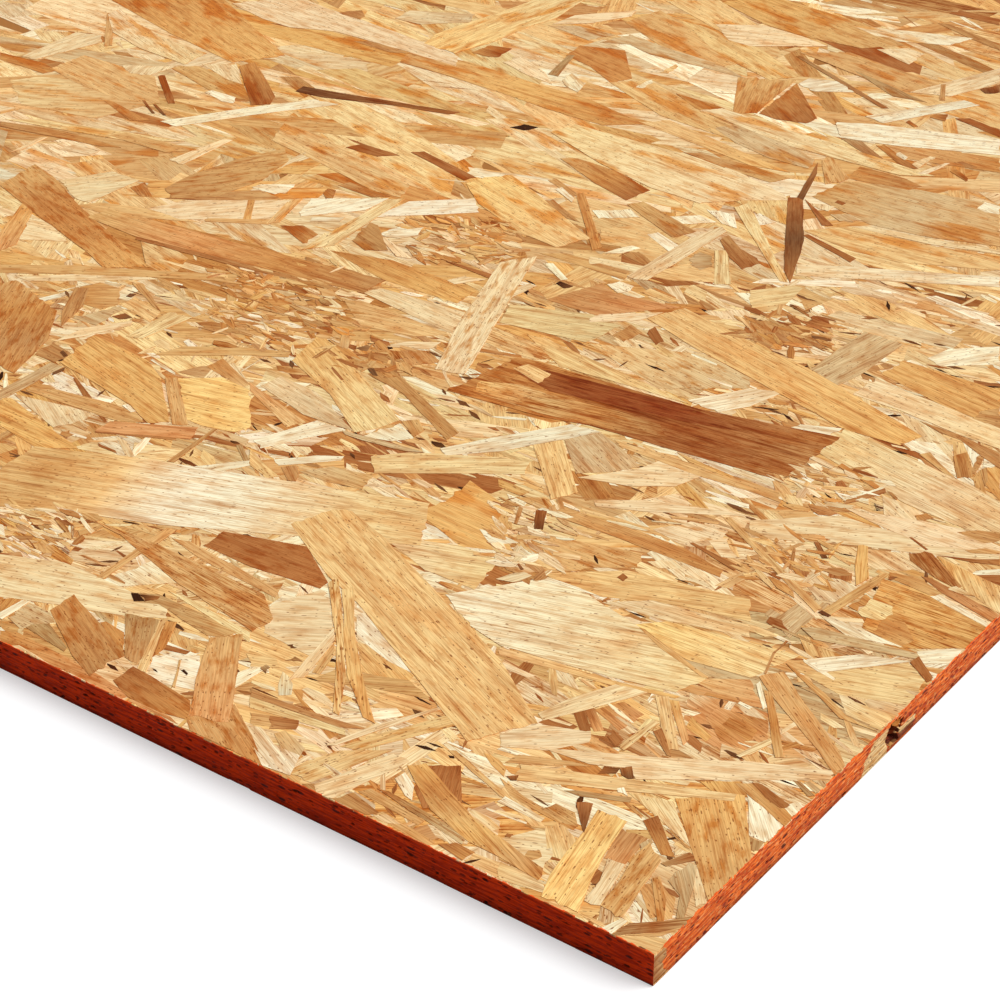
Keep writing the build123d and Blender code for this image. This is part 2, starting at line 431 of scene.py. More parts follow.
    ("grey>tan", 3, (299, 471), (333, 466), (374, 475), (362, 489), (326, 481)),
    ("brown", 4, (281, 467), (296, 465), (299, 472), (296, 481), (288, 480)),
    ("straw", 4, (374, 473), (371, 456), (409, 452), (500, 457), (530, 462), (525, 474), (457, 473)),
    ("grey", 5, (345, 434), (342, 430), (374, 438), (425, 452), (406, 451), (362, 440)),
    ("pale", 4, (362, 436), (400, 423), (414, 438), (392, 441)),
    ("tan", 3, (401, 421), (419, 419), (424, 430), (414, 437)),
    ("rosy>honey", 3, (250, 390), (250, 382), (306, 422), (287, 427)),
    ("honey", 4, (250, 465), (250, 449), (279, 476), (266, 478)),
    ("tan>honey", 3, (361, 326), (339, 293), (393, 311), (449, 334), (417, 336)),
    # The left side of the view
    ("tan>rust>brown>rust specky", 4, (16, 280), (57, 310), (48, 339), (14, 373), (-10, 360), (-10, 285)),
    ("brown", 4, (75, 287), (89, 288), (83, 306), (61, 326), (62, 311)),
    ("tan", 4, (-20, 272), (-20, 264), (80, 265), (159, 271), (236, 274), (236, 281), (80, 274)),
    ("cream", 3, (29, 281), (16, 276), (131, 272), (159, 279)),
    ("amber", 5, (60, 362), (94, 335), (148, 360), (161, 378), (169, 422), (148, 423), (131, 405),
     (102, 387)),
    ("gold", 3, (186, 419), (178, 378), (223, 377), (250, 390), (250, 427), (236, 432), (201, 425)),
    ("tan", 5, (165, 377), (177, 377), (188, 424), (172, 424)),
    ("tan", 4, (26, 390), (37, 384), (112, 403), (137, 413), (144, 422), (118, 421), (64, 403)),
    ("grey", 4, (0, 400), (0, 390), (51, 362), (64, 366), (32, 384)),
    ("brown", 3, (35, 354), (53, 342), (73, 354), (54, 362)),
    ("umber", 3, (73, 378), (76, 377), (91, 396), (107, 421), (104, 422), (95, 411), (82, 394)),
    ("rosy", 5, (95, 431), (110, 421), (198, 427), (190, 439), (132, 434)),
    ("brown", 5, (167, 461), (174, 462), (217, 429), (214, 428)),
    ("amber", 4, (0, 425), (0, 398), (11, 398), (78, 448), (37, 448)),
    ("cream", 3, (13, 393), (96, 413), (83, 420), (53, 427)),
    ("grey", 3, (73, 318), (120, 306), (124, 309), (96, 325)),
    ("cream", 4, (54, 341), (83, 328), (132, 320), (131, 325), (83, 336)),
    ("straw", 4, (143, 338), (126, 336), (169, 312), (193, 317)),
    ("tan", 4, (153, 355), (183, 346), (250, 347), (291, 352), (288, 357), (250, 355)),
    ("brown", 3, (207, 328), (196, 322), (212, 321), (250, 330), (250, 335)),
    ("tan>brown", 3, (132, 283), (143, 283), (161, 311), (153, 306)),
    ("rust>tan", 3, (206, 366), (223, 358), (250, 384), (240, 386)),
    ("cream", 3, (116, 436), (127, 441), (135, 457), (126, 457)),
    ("pale", 3, (223, 471), (194, 466), (250, 460), (250, 465)),
    ("drab", 3, (236, 445), (242, 444), (249, 460), (244, 461)),
    # The right side of the view
    ("cream>straw fine", 4, (853, 394), (875, 378), (884, 382), (950, 408), (1000, 428), (1010, 452),
     (958, 434),
     (900, 410)),
    ("amber", 3, (882, 374), (903, 360), (1000, 390), (1000, 427), (949, 408)),
    ("grey", 3, (836, 386), (810, 369), (865, 331), (903, 344), (860, 375)),
    ("straw>cream>straw", 4, (818, 452), (846, 428), (975, 487), (1040, 525), (1040, 560), (905, 503)),
    ("pale", 3, (941, 366), (927, 358), (948, 349), (1000, 346), (1000, 364)),
    ("cream>pale fine", 4, (795, 275), (796, 264), (846, 266), (1000, 277), (1000, 287), (862, 279)),
    ("straw", 5, (734, 207), (749, 203), (788, 282), (780, 281)),
    ("umber>dark>umber", 5, (788, 197), (803, 197), (804, 240), (801, 252), (790, 283), (784, 270),
     (785, 240)),
    ("dark>umber", 5, (797, 197), (803, 200), (817, 173), (818, 162)),
    ("umber", 5, (805, 199), (811, 204), (833, 225), (822, 225)),
    ("brown specky", 3, (750, 320), (798, 322), (818, 336), (795, 346), (750, 339)),
    ("brown", 5, (920, 421), (958, 434), (1000, 453), (1000, 469), (980, 455), (961, 440), (940, 432)),
    ("honey>rust", 3, (952, 441), (968, 446), (973, 476), (957, 478)),
    ("straw", 3, (750, 311), (750, 290), (795, 285), (803, 288), (777, 312)),
    # The far part of the view
    ("pale", 5, (839, 137), (837, 122), (877, 124), (1000, 139), (1000, 155), (893, 145)),
    ("pale", 5, (884, 123), (865, 116), (964, 100), (980, 105)),
    ("cream", 4, (951, 96), (909, 92), (1000, 68), (1000, 83)),
    ("drab>umber", 4, (796, 56), (800, 55), (889, 108), (882, 108)),
    ("drab", 4, (854, 70), (880, 81), (927, 102), (893, 96)),
    ("cream", 3, (877, 49), (909, 48), (925, 54), (909, 64)),
    ("pale", 3, (814, 91), (799, 83), (809, 78), (839, 81), (854, 92)),
    ("umber", 4, (949, 13), (960, 10), (1000, 19), (1000, 25)),
    ("gap", 5, (510, 127), (524, 124), (538, 127), (524, 130)),
    ("rust", 5, (576, 193), (584, 192), (602, 247), (592, 250)),
    ("brown", 3, (540, 201), (553, 199), (580, 222), (567, 218)),
    ("pale", 4, (592, 210), (631, 209), (640, 217), (599, 218)),
    ("tan>brown", 4, (627, 204), (643, 201), (696, 231), (672, 237)),
    ("pale", 4, (706, 209), (734, 213), (737, 228), (722, 223)),
    ("grey", 3, (548, 25), (580, 26), (615, 35), (589, 40)),
    ("dark>umber streaked", 5, (296, 91), (303, 86), (349, 94), (460, 112), (449, 114), (393, 105),
     (322, 97)),
    ("umber", 4, (346, 147), (362, 143), (400, 155), (377, 156)),
    ("umber", 4, (411, 152), (424, 151), (476, 177), (464, 180)),
    ("pale", 4, (301, 216), (299, 212), (311, 198), (389, 198), (365, 210)),
    ("pale", 4, (374, 217), (409, 201), (475, 198), (479, 212)),
    ("straw", 5, (334, 245), (298, 250), (389, 199), (406, 198)),
    ("honey", 4, (279, 222), (266, 223), (290, 199), (303, 198)),
    ("umber>rust", 3, (280, 225), (303, 225), (318, 234), (303, 243)),
    ("pale", 4, (176, 126), (160, 121), (250, 107), (314, 99), (339, 104), (250, 115)),
    ("umber>brown", 3, (331, 13), (362, 10), (365, 16), (360, 19)),
    ("brown", 3, (354, 41), (377, 40), (409, 53), (390, 52)),
    ("tan>rust>rust>amber specky", 5, (0, 185), (35, 164), (53, 176), (83, 209), (150, 267), (103, 267),
     (85, 250), (35, 213)),
    ("amber>rosy", 4, (37, 202), (25, 200), (-10, 245), (0, 250), (16, 244)),
    ("cream", 3, (19, 239), (32, 214), (53, 226), (67, 241)),
    ("cream", 4, (76, 198), (59, 180), (112, 171), (140, 180), (89, 202)),
    ("brown>rust", 4, (0, 126), (0, 121), (64, 131), (121, 147), (102, 146)),
    ("umber>dark", 5, (142, 100), (145, 100), (155, 113), (152, 113)),
    ("umber>dark", 5, (153, 104), (156, 104), (166, 115), (163, 115)),
    ("cream", 4, (183, 164), (169, 159), (223, 139), (233, 140)),
    ("straw>tan", 2, (21, 104), (10, 80), (40, 76), (155, 89), (157, 102), (96, 118)),
    ("cream", 4, (35, 59), (22, 56), (76, 32), (102, 35), (102, 42)),
    ("tan", 4, (107, 13), (113, 14), (112, 45), (104, 46)),
    ("cream", 3, (202, 64), (237, 64), (242, 84), (225, 78)),
    ("rust>umber", 4, (759, 113), (797, 83), (817, 118), (806, 123), (776, 119)),
    ("tan>rust", 3, (738, 77), (796, 80), (765, 105), (757, 113), (733, 114)),
    ("cream>pale", 4, (852, 25), (885, 28), (973, 38), (949, 45), (885, 40)),
    ("cream", 5, (729, 40), (716, 24), (765, 25), (802, 36), (828, 46), (750, 46)),
    ("amber>tan", 4, (722, 2), (770, -5), (860, 22), (905, 45), (862, 48), (800, 35), (765, 24)),
    ("honey", 4, (680, 20), (700, 25), (760, 48), (800, 76), (770, 80), (720, 55)),
    ("tan", 3, (800, 52), (850, 52), (950, 88), (900, 92)),
    ("honey", 3, (665, 0), (720, 0), (780, 40), (745, 45)),
    ("tan", 3, (625, 22), (660, 10), (700, 30), (760, 60), (720, 66), (660, 45)),
    ("brown", 4, (938, 23), (950, 24), (1000, 44), (1000, 50), (970, 38)),
    ("brown", 5, (941, 84), (946, 84), (945, 100), (940, 100)),
    ("umber", 4, (955, 118), (970, 118), (1000, 130), (1000, 137)),
    ("umber>dark", 4, (980, 89), (1000, 84), (1000, 92), (985, 93)),
    ("rust", 4, (676, 93), (690, 97), (725, 108), (705, 112), (695, 108)),
    ("honey>tan", 3, (610, 82), (650, 80), (720, 120), (780, 145), (735, 140), (660, 115)),
    ("grey", 4, (600, 42), (630, 34), (665, 47), (720, 64), (745, 78), (700, 66), (650, 54), (630, 44)),
    ("honey", 4, (660, 72), (676, 64), (678, 66), (668, 73)),
    ("pale", 4, (636, 87), (652, 79), (653, 83), (642, 88)),
    ("rust", 3, (566, 55), (580, 45), (625, 50), (632, 78), (610, 82), (590, 66)),
    ("cream>pale", 4, (562, 80), (572, 73), (585, 84), (578, 92), (566, 86)),
    ("drab", 4, (548, 74), (558, 76), (575, 55), (568, 55)),
    ("cream", 4, (503, 62), (522, 56), (545, 72), (552, 84), (528, 75)),
    ("tan>amber>rust", 4, (400, 62), (412, 50), (470, 62), (545, 86), (592, 100), (645, 124), (603, 125),
     (545, 108),
     (500, 92), (440, 73)),
    ("rust>umber", 4, (472, 52), (490, 45), (512, 48), (498, 57), (485, 56)),
    ("cream", 4, (552, 24), (575, 15), (636, 10), (632, 16), (590, 23)),
    ("gold>straw", 5, (455, 53), (424, 43), (437, 33), (482, 18), (525, 3), (550, -6), (590, -4), (556, 18),
     (527, 27), (492, 42)),
    ("cream", 4, (395, 18), (410, 10), (475, 14), (470, 22), (420, 24)),
    ("cream", 4, (232, 3), (300, -3), (345, 15), (400, 33), (458, 56), (456, 66), (400, 49), (335, 31),
     (290, 27),
     (262, 18)),
    ("rust>amber", 4, (95, -10), (215, -10), (255, 28), (285, 55), (232, 62), (170, 33)),
    ("cream>straw", 5, (108, 14), (120, 8), (137, 23), (175, 42), (207, 53), (184, 64), (140, 48), (113, 32)),
    ("rust", 4, (0, 59), (0, 52), (45, 63), (56, 70), (43, 73)),
    ("honey>tan", 3, (50, 68), (85, 55), (155, 76), (160, 103), (120, 100), (75, 82)),
    ("cream", 4, (122, 65), (178, 66), (150, 75), (130, 73)),
    ("rust>umber", 5, (239, 66), (255, 62), (268, 82), (275, 96), (270, 104), (251, 105), (246, 88)),
    ("tan", 3, (168, 66), (200, 66), (243, 84), (250, 100), (220, 96)),
    ("pale", 4, (205, 92), (212, 90), (236, 97), (233, 103), (222, 101)),
    ("umber", 4, (158, 76), (165, 75), (175, 103), (168, 103)),
    ("rust", 4, (103, 100), (112, 101), (150, 120), (130, 120)),
    ("straw", 4, (5, 119), (40, 119), (185, 141), (130, 141)),
    ("cream", 4, (10, 152), (20, 150), (48, 137), (40, 137)),
    ("cream", 3, (60, 149), (75, 143), (100, 150), (90, 155)),
    ("tan", 4, (108, 135), (125, 132), (200, 150), (165, 152)),
    ("brown>tan specky", 4, (165, 188), (190, 175), (240, 158), (285, 148), (288, 160), (262, 180),
     (215, 197),
     (172, 198)),
    ("brown", 3, (130, 187), (145, 182), (152, 196), (140, 196)),
    ("amber", 4, (275, 172), (300, 158), (318, 155), (322, 162), (300, 174)),
    ("cream", 4, (280, 168), (292, 158), (305, 152), (312, 157)),
    ("honey", 4, (272, 140), (285, 122), (320, 135), (365, 160), (410, 186), (400, 197), (372, 190),
     (325, 165)),
    ("cream", 4, (180, 219), (147, 208), (190, 200), (290, 200), (275, 219)),
    ("amber>rust", 5, (243, 219), (251, 219), (255, 200), (248, 200)),
    ("umber>tan", 4, (165, 198), (190, 193), (260, 190), (283, 199), (270, 202), (200, 200)),
    ("cream", 3, (250, 190), (262, 184), (295, 184), (285, 193)),
    ("tan", 4, (205, 221), (208, 218), (275, 219), (268, 224)),
    ("tan>honey", 3, (75, 205), (100, 202), (150, 208), (200, 222), (110, 215)),
    ("brown", 4, (352, 240), (370, 222), (378, 225), (388, 250), (365, 250)),
    ("pale", 3, (378, 234), (400, 226), (422, 228), (400, 238)),
    ("gold>honey", 5, (466, 183), (485, 177), (512, 175), (535, 192), (590, 238), (556, 247), (520, 232),
     (478, 203)),
    ("straw>cream", 5, (551, 132), (575, 124), (640, 142), (690, 155), (740, 172), (785, 195), (788, 200),
     (745, 200), (700, 203), (650, 187), (600, 163)),
    ("tan>rust>umber", 4, (560, 158), (578, 158), (620, 172), (650, 190), (626, 200), (595, 183)),
    ("tan>brown", 4, (548, 180), (556, 178), (580, 195), (572, 196)),
    ("pale", 4, (555, 189), (562, 187), (575, 198), (572, 202)),
    ("pale", 4, (669, 216), (700, 215), (717, 222), (680, 224)),
    ("honey>straw", 3, (735, 200), (790, 195), (788, 225), (760, 215)),
    ("pale", 4, (752, 217), (760, 213), (776, 222), (760, 225)),
    ("brown>tan", 5, (684, 152), (700, 153), (750, 165), (790, 178), (770, 182), (730, 170)),
    ("grey", 4, (715, 128), (735, 124), (790, 145), (815, 160), (808, 168), (770, 158), (735, 142)),
    ("honey>amber", 3, (640, 122), (670, 120), (790, 172), (750, 165)),
    ("cream>straw", 5, (700, 110), (722, 108), (790, 130), (850, 148), (935, 176), (900, 175), (850, 162),
     (790, 146),
     (740, 126)),
    ("drab>umber", 4, (841, 138), (862, 141), (885, 160), (872, 158)),
    ("rust>umber", 4, (876, 145), (884, 144), (918, 168), (905, 168)),
    ("pale", 5, (917, 173), (925, 175), (950, 163), (945, 163)),
    ("cream", 5, (912, 164), (930, 156), (936, 157), (918, 168)),
    ("tan specky", 4, (822, 160), (832, 157), (850, 178), (840, 182), (825, 184)),
    ("rust>brown", 3, (848, 178), (860, 166), (905, 178), (922, 186), (905, 190)),
    ("tan>grey>tan", 3, (812, 196), (845, 181), (900, 186), (1000, 205), (1000, 246), (930, 237), (870, 224)),
    ("cream", 4, (850, 226), (865, 226), (940, 240), (1000, 250), (1000, 254), (930, 244)),
    ("honey", 3, (803, 230), (850, 226), (930, 245), (1000, 256), (1000, 270), (900, 262), (850, 250)),
    ("umber", 4, (803, 235), (808, 234), (856, 258), (850, 262)),
    ("cream", 4, (806, 202), (835, 206), (828, 211), (812, 206)),
    ("grey", 4, (830, 214), (850, 214), (862, 220), (840, 221)),
    # Smaller strands and chips all over the view
    ("honey", 3, (600, 243), (600, 228), (640, 225), (668, 252), (650, 262), (620, 246)),
    ("pale", 4, (647, 234), (658, 232), (680, 246), (670, 252)),
    ("pale", 4, (603, 253), (615, 249), (632, 245), (641, 248), (622, 253)),
    ("brown", 3, (622, 253), (640, 251), (652, 262), (645, 265), (630, 258)),
    ("cream", 4, (590, 264), (590, 256), (645, 266), (632, 273)),
    ("brown", 4, (590, 264), (600, 263), (634, 272), (626, 274)),
    ("grey>drab", 4, (690, 264), (690, 258), (700, 252), (712, 256), (712, 266), (700, 270)),
    ("brown>umber", 5, (720, 240), (729, 235), (740, 248), (757, 258), (760, 263), (742, 269), (730, 258)),
    ("honey", 3, (645, 275), (690, 262), (720, 268), (720, 282), (670, 280)),
    ("cream", 4, (590, 322), (590, 318), (600, 314), (664, 312), (640, 320)),
    ("pale", 5, (607, 284), (620, 281), (634, 286), (630, 291), (618, 293)),
    ("honey", 3, (640, 292), (650, 288), (680, 300), (670, 302)),
    ("rust>tan", 3, (84, 304), (80, 287), (100, 282), (120, 288), (118, 304), (100, 309)),
    # A dark piece that is painted shade among the crumbs
    ("umber>dark", 5, (112, 316), (125, 313), (132, 317), (120, 319)),
    ("dark", 5, (126, 296), (130, 293), (136, 294), (131, 297)),
    ("honey", 3, (121, 305), (135, 296), (160, 312), (150, 322)),
    ("honey streaked", 2, (478, 338), (490, 325), (535, 342), (578, 358), (536, 359), (500, 349)),
    ("amber>tan", 1, (465, 365), (480, 352), (536, 359), (510, 362), (480, 372)),
    ("gap>dark", 6, (556, 283), (560, 281), (573, 286), (564, 288)),
    ("cream", 4, (512, 297), (515, 288), (530, 283), (536, 286)),
    ("cream", 4, (447, 280), (455, 284), (488, 279), (462, 276)),
    ("brown>umber", 5, (843, 504), (846, 500), (885, 488), (886, 492), (865, 499)),
    ("pale", 5, (843, 500), (850, 496), (888, 485), (880, 490)),
    ("umber", 5, (835, 482), (842, 480), (847, 486), (838, 489)),
    ("rust", 5, (838, 466), (842, 463), (880, 486), (876, 489)),
    ("pale", 4, (791, 427), (800, 424), (842, 428), (830, 436)),
    ("honey>rosy", 2, (686, 690), (706, 678), (750, 679), (762, 706), (740, 703), (700, 693)),
    ("rosy>rust>rosy", 2, (706, 717), (720, 707), (768, 720), (768, 738), (746, 750), (720, 740)),
    ("rust", 3, (722, 724), (729, 717), (758, 730), (748, 741)),
    ("amber", 2, (686, 727), (692, 716), (712, 736), (706, 741)),
    ("cream>honey", 2, (720, 757), (722, 743), (745, 752), (738, 757)),
    ("cream>straw", 5, (740, 757), (736, 755), (760, 742), (771, 738), (772, 743), (752, 754)),
    ("pale", 5, (756, 684), (760, 681), (767, 707), (763, 709)),
    ("pale", 4, (738, 703), (740, 701), (753, 707), (749, 709)),
    ("rust>rosy", 4, (704, 694), (707, 692), (762, 703), (762, 708), (740, 703)),
    ("umber>brown", 5, (653, 731), (662, 728), (671, 756), (667, 755)),
    ("honey>rosy", 1, (780, 757), (776, 712), (796, 716), (828, 757)),
    ("cream", 3, (781, 734), (782, 729), (795, 721), (797, 725)),
    ("rust", 3, (784, 750), (782, 746), (796, 741), (800, 744)),
    ("pale", 5, (543, 579), (548, 577), (578, 587), (600, 596), (585, 592)),
    ("umber>dark", 5, (517, 564), (519, 563), (524, 569), (521, 570)),
    ("umber>rust", 6, (602, 601), (604, 599), (608, 597), (611, 599)),
    ("pale", 6, (915, 699), (916, 695), (919, 694), (919, 698)),
    ("pale", 6, (939, 680), (940, 677), (943, 676), (943, 679)),
    ("straw", 4, (858, 612), (870, 598), (893, 606), (893, 614), (878, 620), (862, 616)),
    ("rust", 5, (848, 606), (866, 594), (871, 598), (858, 611)),
    ("rust>tan", 4, (872, 632), (884, 618), (905, 622), (914, 640), (900, 648)),
    ("rust>tan", 5, (888, 577), (890, 572), (920, 578), (942, 593), (930, 595), (905, 584)),
    ("umber>dark", 6, (888, 579), (890, 576), (898, 577), (891, 580)),
    ("pale", 4, (930, 596), (940, 594), (988, 622), (987, 627)),
    ("cream>tan", 5, (948, 589), (956, 586), (975, 596), (962, 594)),
    ("dark", 6, (818, 612), (822, 610), (831, 615), (828, 617)),
    ("cream", 2, (795, 572), (812, 562), (858, 588), (838, 601), (818, 600)),
    ("cream>straw>honey fine", 1, (839, 694), (846, 690), (915, 694), (896, 716), (880, 728), (846, 714)),
    ("dark", 6, (52, 375), (53, 372), (65, 367), (64, 370)),
    ("rust>brown", 5, (31, 386), (34, 383), (50, 385), (56, 389), (42, 389)),
    ("pale", 5, (122, 405), (128, 404), (136, 411), (131, 412)),
    ("umber>brown", 5, (99, 446), (98, 443), (115, 450), (117, 453)),
    ("rust>brown", 5, (60, 434), (62, 431), (74, 434), (66, 437)),
    ("dark", 6, (60, 352), (63, 350), (68, 355), (64, 357)),
    ("cream", 4, (25, 367), (34, 356), (47, 361), (30, 368)),
    # A thin dark strand that is a painted shadow along the lower side of the rosy strand
    ("umber>brown", 4, (95, 432), (96, 430), (176, 437), (176, 440)),
    ("rust>umber", 4, (930, 117), (934, 114), (948, 114), (945, 121)),
    ("umber>rust", 5, (906, 122), (909, 120), (918, 126), (914, 127)),
    ("tan>rust", 3, (887, 148), (895, 143), (1000, 158), (1000, 172), (950, 165), (905, 158)),
    ("pale", 5, (896, 155), (900, 152), (908, 157), (905, 160)),
    ("umber>brown", 4, (957, 162), (962, 161), (978, 167), (970, 168)),
    ("rust>umber", 4, (950, 171), (955, 168), (968, 178), (966, 181)),
    ("pale", 4, (977, 208), (985, 202), (1000, 206), (1000, 214), (985, 212)),
    ("umber", 6, (835, 202), (838, 200), (846, 203), (842, 205)),
    ("pale", 4, (395, 778), (405, 772), (414, 785), (412, 800), (405, 795)),
    ("umber>dark", 6, (507, 776), (519, 775), (516, 780), (511, 780)),
    ("pale>cream", 4, (497, 801), (505, 796), (545, 818), (540, 822), (520, 812)),
    ("honey>straw", 2, (545, 826), (560, 822), (578, 840), (560, 862), (548, 862)),
    ("tan", 4, (524, 856), (528, 850), (540, 850), (542, 856), (530, 860)),
    ("umber", 5, (505, 836), (507, 833), (513, 834), (510, 837)),
    ("umber>brown", 5, (135, 239), (137, 236), (250, 265), (322, 283), (352, 292), (345, 293), (318, 286),
     (248, 269)),
    ("pale", 5, (383, 236), (390, 231), (424, 227), (418, 235), (400, 238)),
    ("cream", 4, (381, 238), (386, 237), (412, 258), (396, 256)),
    ("pale", 4, (310, 221), (312, 217), (345, 217), (340, 221)),
    ("brown", 4, (338, 185), (350, 182), (390, 196), (372, 197)),
    ("brown", 4, (323, 193), (328, 188), (336, 190), (333, 198), (326, 198)),
    ("pale", 5, (252, 187), (262, 184), (295, 184), (288, 191), (275, 194)),
    ("rust>umber", 5, (430, 233), (434, 229), (452, 238), (450, 241)),
    ("rust>brown", 5, (953, 456), (967, 452), (973, 476), (957, 477)),
    ("brown", 5, (970, 472), (979, 455), (984, 458), (975, 474)),
    ("tan", 4, (973, 478), (980, 470), (986, 493), (976, 490)),
    ("amber>rust", 3, (981, 471), (988, 467), (1000, 465), (1000, 500), (986, 485)),
    ("brown", 5, (980, 470), (987, 467), (988, 480), (985, 486)),
    ("pale", 3, (963, 442), (981, 456), (974, 466), (969, 455)),
    ("pale", 3, (980, 470), (984, 458), (996, 465), (988, 468)),
    ("cream", 2, (900, 412), (922, 422), (952, 440), (954, 468), (930, 450), (915, 440)),
    ("pale", 3, (901, 444), (912, 440), (935, 443), (953, 462), (956, 476), (945, 470), (920, 453)),
    ("tan", 5, (919, 454), (930, 452), (938, 461), (956, 478), (944, 473)),
    ("umber>brown", 5, (900, 443), (903, 443), (911, 449), (909, 450)),
    ("brown", 5, (887, 491), (892, 492), (898, 498), (896, 500)),
    ("cream", 3, (882, 495), (897, 500), (934, 518), (915, 520), (884, 514)),
    ("rust>brown", 5, (915, 515), (926, 513), (934, 518), (917, 520)),
    ("cream", 4, (840, 505), (855, 507), (880, 514), (918, 520), (960, 528), (1000, 546), (1000, 556),
     (960, 548),
     (925, 545), (900, 534), (870, 521)),
    ("umber", 5, (909, 537), (912, 537), (928, 549), (926, 550)),
    ("tan", 5, (965, 550), (985, 548), (1000, 551), (1000, 554), (972, 553)),
    ("tan>brown", 4, (972, 418), (985, 410), (1000, 408), (1000, 428)),
]

Strand = namedtuple("Strand", "outline grain depth tones figure")


def linear(hex_colour):
    """An sRGB hex colour as linear red, green, blue and alpha."""
    channels = [int(hex_colour[k:k + 2], 16) / 255 for k in (1, 3, 5)]
    return tuple(c / 12.92 if c <= 0.04045 else ((c + 0.055) / 1.055) ** 2.4 for c in channels) + (1.0,)


def add(tree, kind, inputs=None, **settings):
    """Adds one node with its settings, and sets or links its inputs by name or number."""
    made = tree.nodes.new(kind)
    for name, value in settings.items():
        setattr(made, name, value)
    for key, value in (inputs or {}).items():
        if isinstance(value, bpy.types.NodeSocket):
            tree.links.new(value, made.inputs[key])
        else:
            made.inputs[key].default_value = value
    return made


def placed(name, data):
    """An object in the scene with this mesh, camera or lamp."""
    made = bpy.data.objects.new(name, data)
    bpy.context.scene.collection.objects.link(made)
    return made


# Camera and sight lines

def make_camera():
    """The camera that the picture was taken with, and the scene's view of colours."""
    data = bpy.data.cameras.new("camera")
    data.lens = LENS
    data.sensor_width = SENSOR
    data.clip_start = 10 * MM
    data.clip_end = 100.0
    made = placed("camera", data)
    made.location = Vector(near_corner + EYE_FROM_CORNER) * MM
    made.rotation_euler = (math.radians(90 - ELEVATION), 0, math.radians(AZIMUTH))
    bpy.context.scene.camera = made
    bpy.context.scene.view_settings.view_transform = "Standard"
    return made


camera = make_camera()
eye = near_corner + EYE_FROM_CORNER
camera_turn = np.array(camera.rotation_euler.to_matrix())


def on_top_face(pixels):
    """Where the sight lines through these pixels meet the top face."""
    plane = (np.array(pixels, float) / PICTURE - 0.5) * SENSOR / LENS
    rays = np.column_stack([plane[:, 0], -plane[:, 1], -np.ones(len(plane))]) @ camera_turn.T
    reach = (high[2] - eye[2]) / rays[:, 2]
    return eye[:2] + rays[:, :2] * reach[:, None]


def in_picture(points, box):
    """Which of these points of the top face the picture shows in a box of pixels."""
    rays = (np.column_stack([points, np.full(len(points), high[2])]) - eye) @ camera_turn
    across, up = (rays[:, :2] / -rays[:, 2:]).T * LENS / SENSOR
    u, v = (0.5 + across) * PICTURE, (0.5 - up) * PICTURE
    left, top, right, bottom = box
    return (u > left) & (u < right) & (v > top) & (v < bottom)


# Strands

def anticlockwise(outline):
    """The outline, turned round if it runs clockwise seen from above."""
    x, y = outline.T
    area = np.sum(x * np.roll(y, -1) - np.roll(x, -1) * y)
    return outline if area > 0 else outline[::-1]


def clipped(outline, lowest, highest):
    """The part of an outline that lies in a rectangle, or None."""
    for axis in (0, 1):
        for limit, sign in ((lowest[axis], 1), (highest[axis], -1)):
            inside = sign * (outline[:, axis] - limit)
            kept = []
            for k in range(len(outline)):
                before, here = inside[k - 1], inside[k]
                if (before < 0) != (here < 0):
                    kept.append(outline[k - 1] + before / (before - here) * (outline[k] - outline[k - 1]))
                if here >= 0:
                    kept.append(outline[k])
            if len(kept) < 3:
                return None
            outline = np.array(kept)
    return outline


def torn(outline, grain, rng, side_step=7.0, side_wobble=0.12, end_step=2.2, end_wobble=0.45):
    """The outline with slightly wandering sides and splintered ends."""
    across = np.array([-grain[1], grain[0]])
    points = []
    for start, end in zip(outline, np.roll(outline, -1, 0)):
        run = end - start
        length = np.hypot(*run)
        is_end = abs(run @ across) > 0.7 * length
        count = max(1, round(length / (end_step if is_end else side_step)))
        moves = rng.normal(0, end_wobble if is_end else side_wobble, count)
        moves[0] = 0
        shares = np.arange(count) / count
        points.append(start + shares[:, None] * run + moves[:, None] * (grain if is_end else across))
    return np.concatenate(points)


def toned(name, rng, spread=0.05):
    """A wood tone as linear colour, a little lighter or darker and redder or yellower than its name."""
    colour = np.array(linear(WOOD_TONES[name])[:3])
    return colour * rng.normal(1, spread) * np.array([1, rng.normal(1, 0.01), rng.normal(1, 0.6 * spread)])


def seen_strands(rng):
    """The strands in view, each where the picture has it."""
    strands = []
    for words, level, *corners in SEEN_STRANDS:
        names, *figure = words.split()
        outline = on_top_face(corners)
        grain = outline.mean(0) - outline[:2].mean(0)
        grain /= np.hypot(*grain)
        outline = torn(anticlockwise(outline), grain, rng)
        depth = LEVEL_DEPTHS[level] + rng.uniform(-LEVEL_JITTER, LEVEL_JITTER)
        tones = [toned(name, rng, 0.02) for name in names.split(">")]
        if len(tones) == 1:
            tones.append(tones[0] * rng.normal(1, 0.05))
        plainest = "smooth" if np.mean([v for u, v in corners]) < FAR_VIEW[3] else "plain"
        if names in ("pale", "cream"):
            plainest = "fine"
        strands.append(Strand(outline, grain, depth, np.array(tones), FIGURES[(figure or [plainest])[0]]))
    return strands


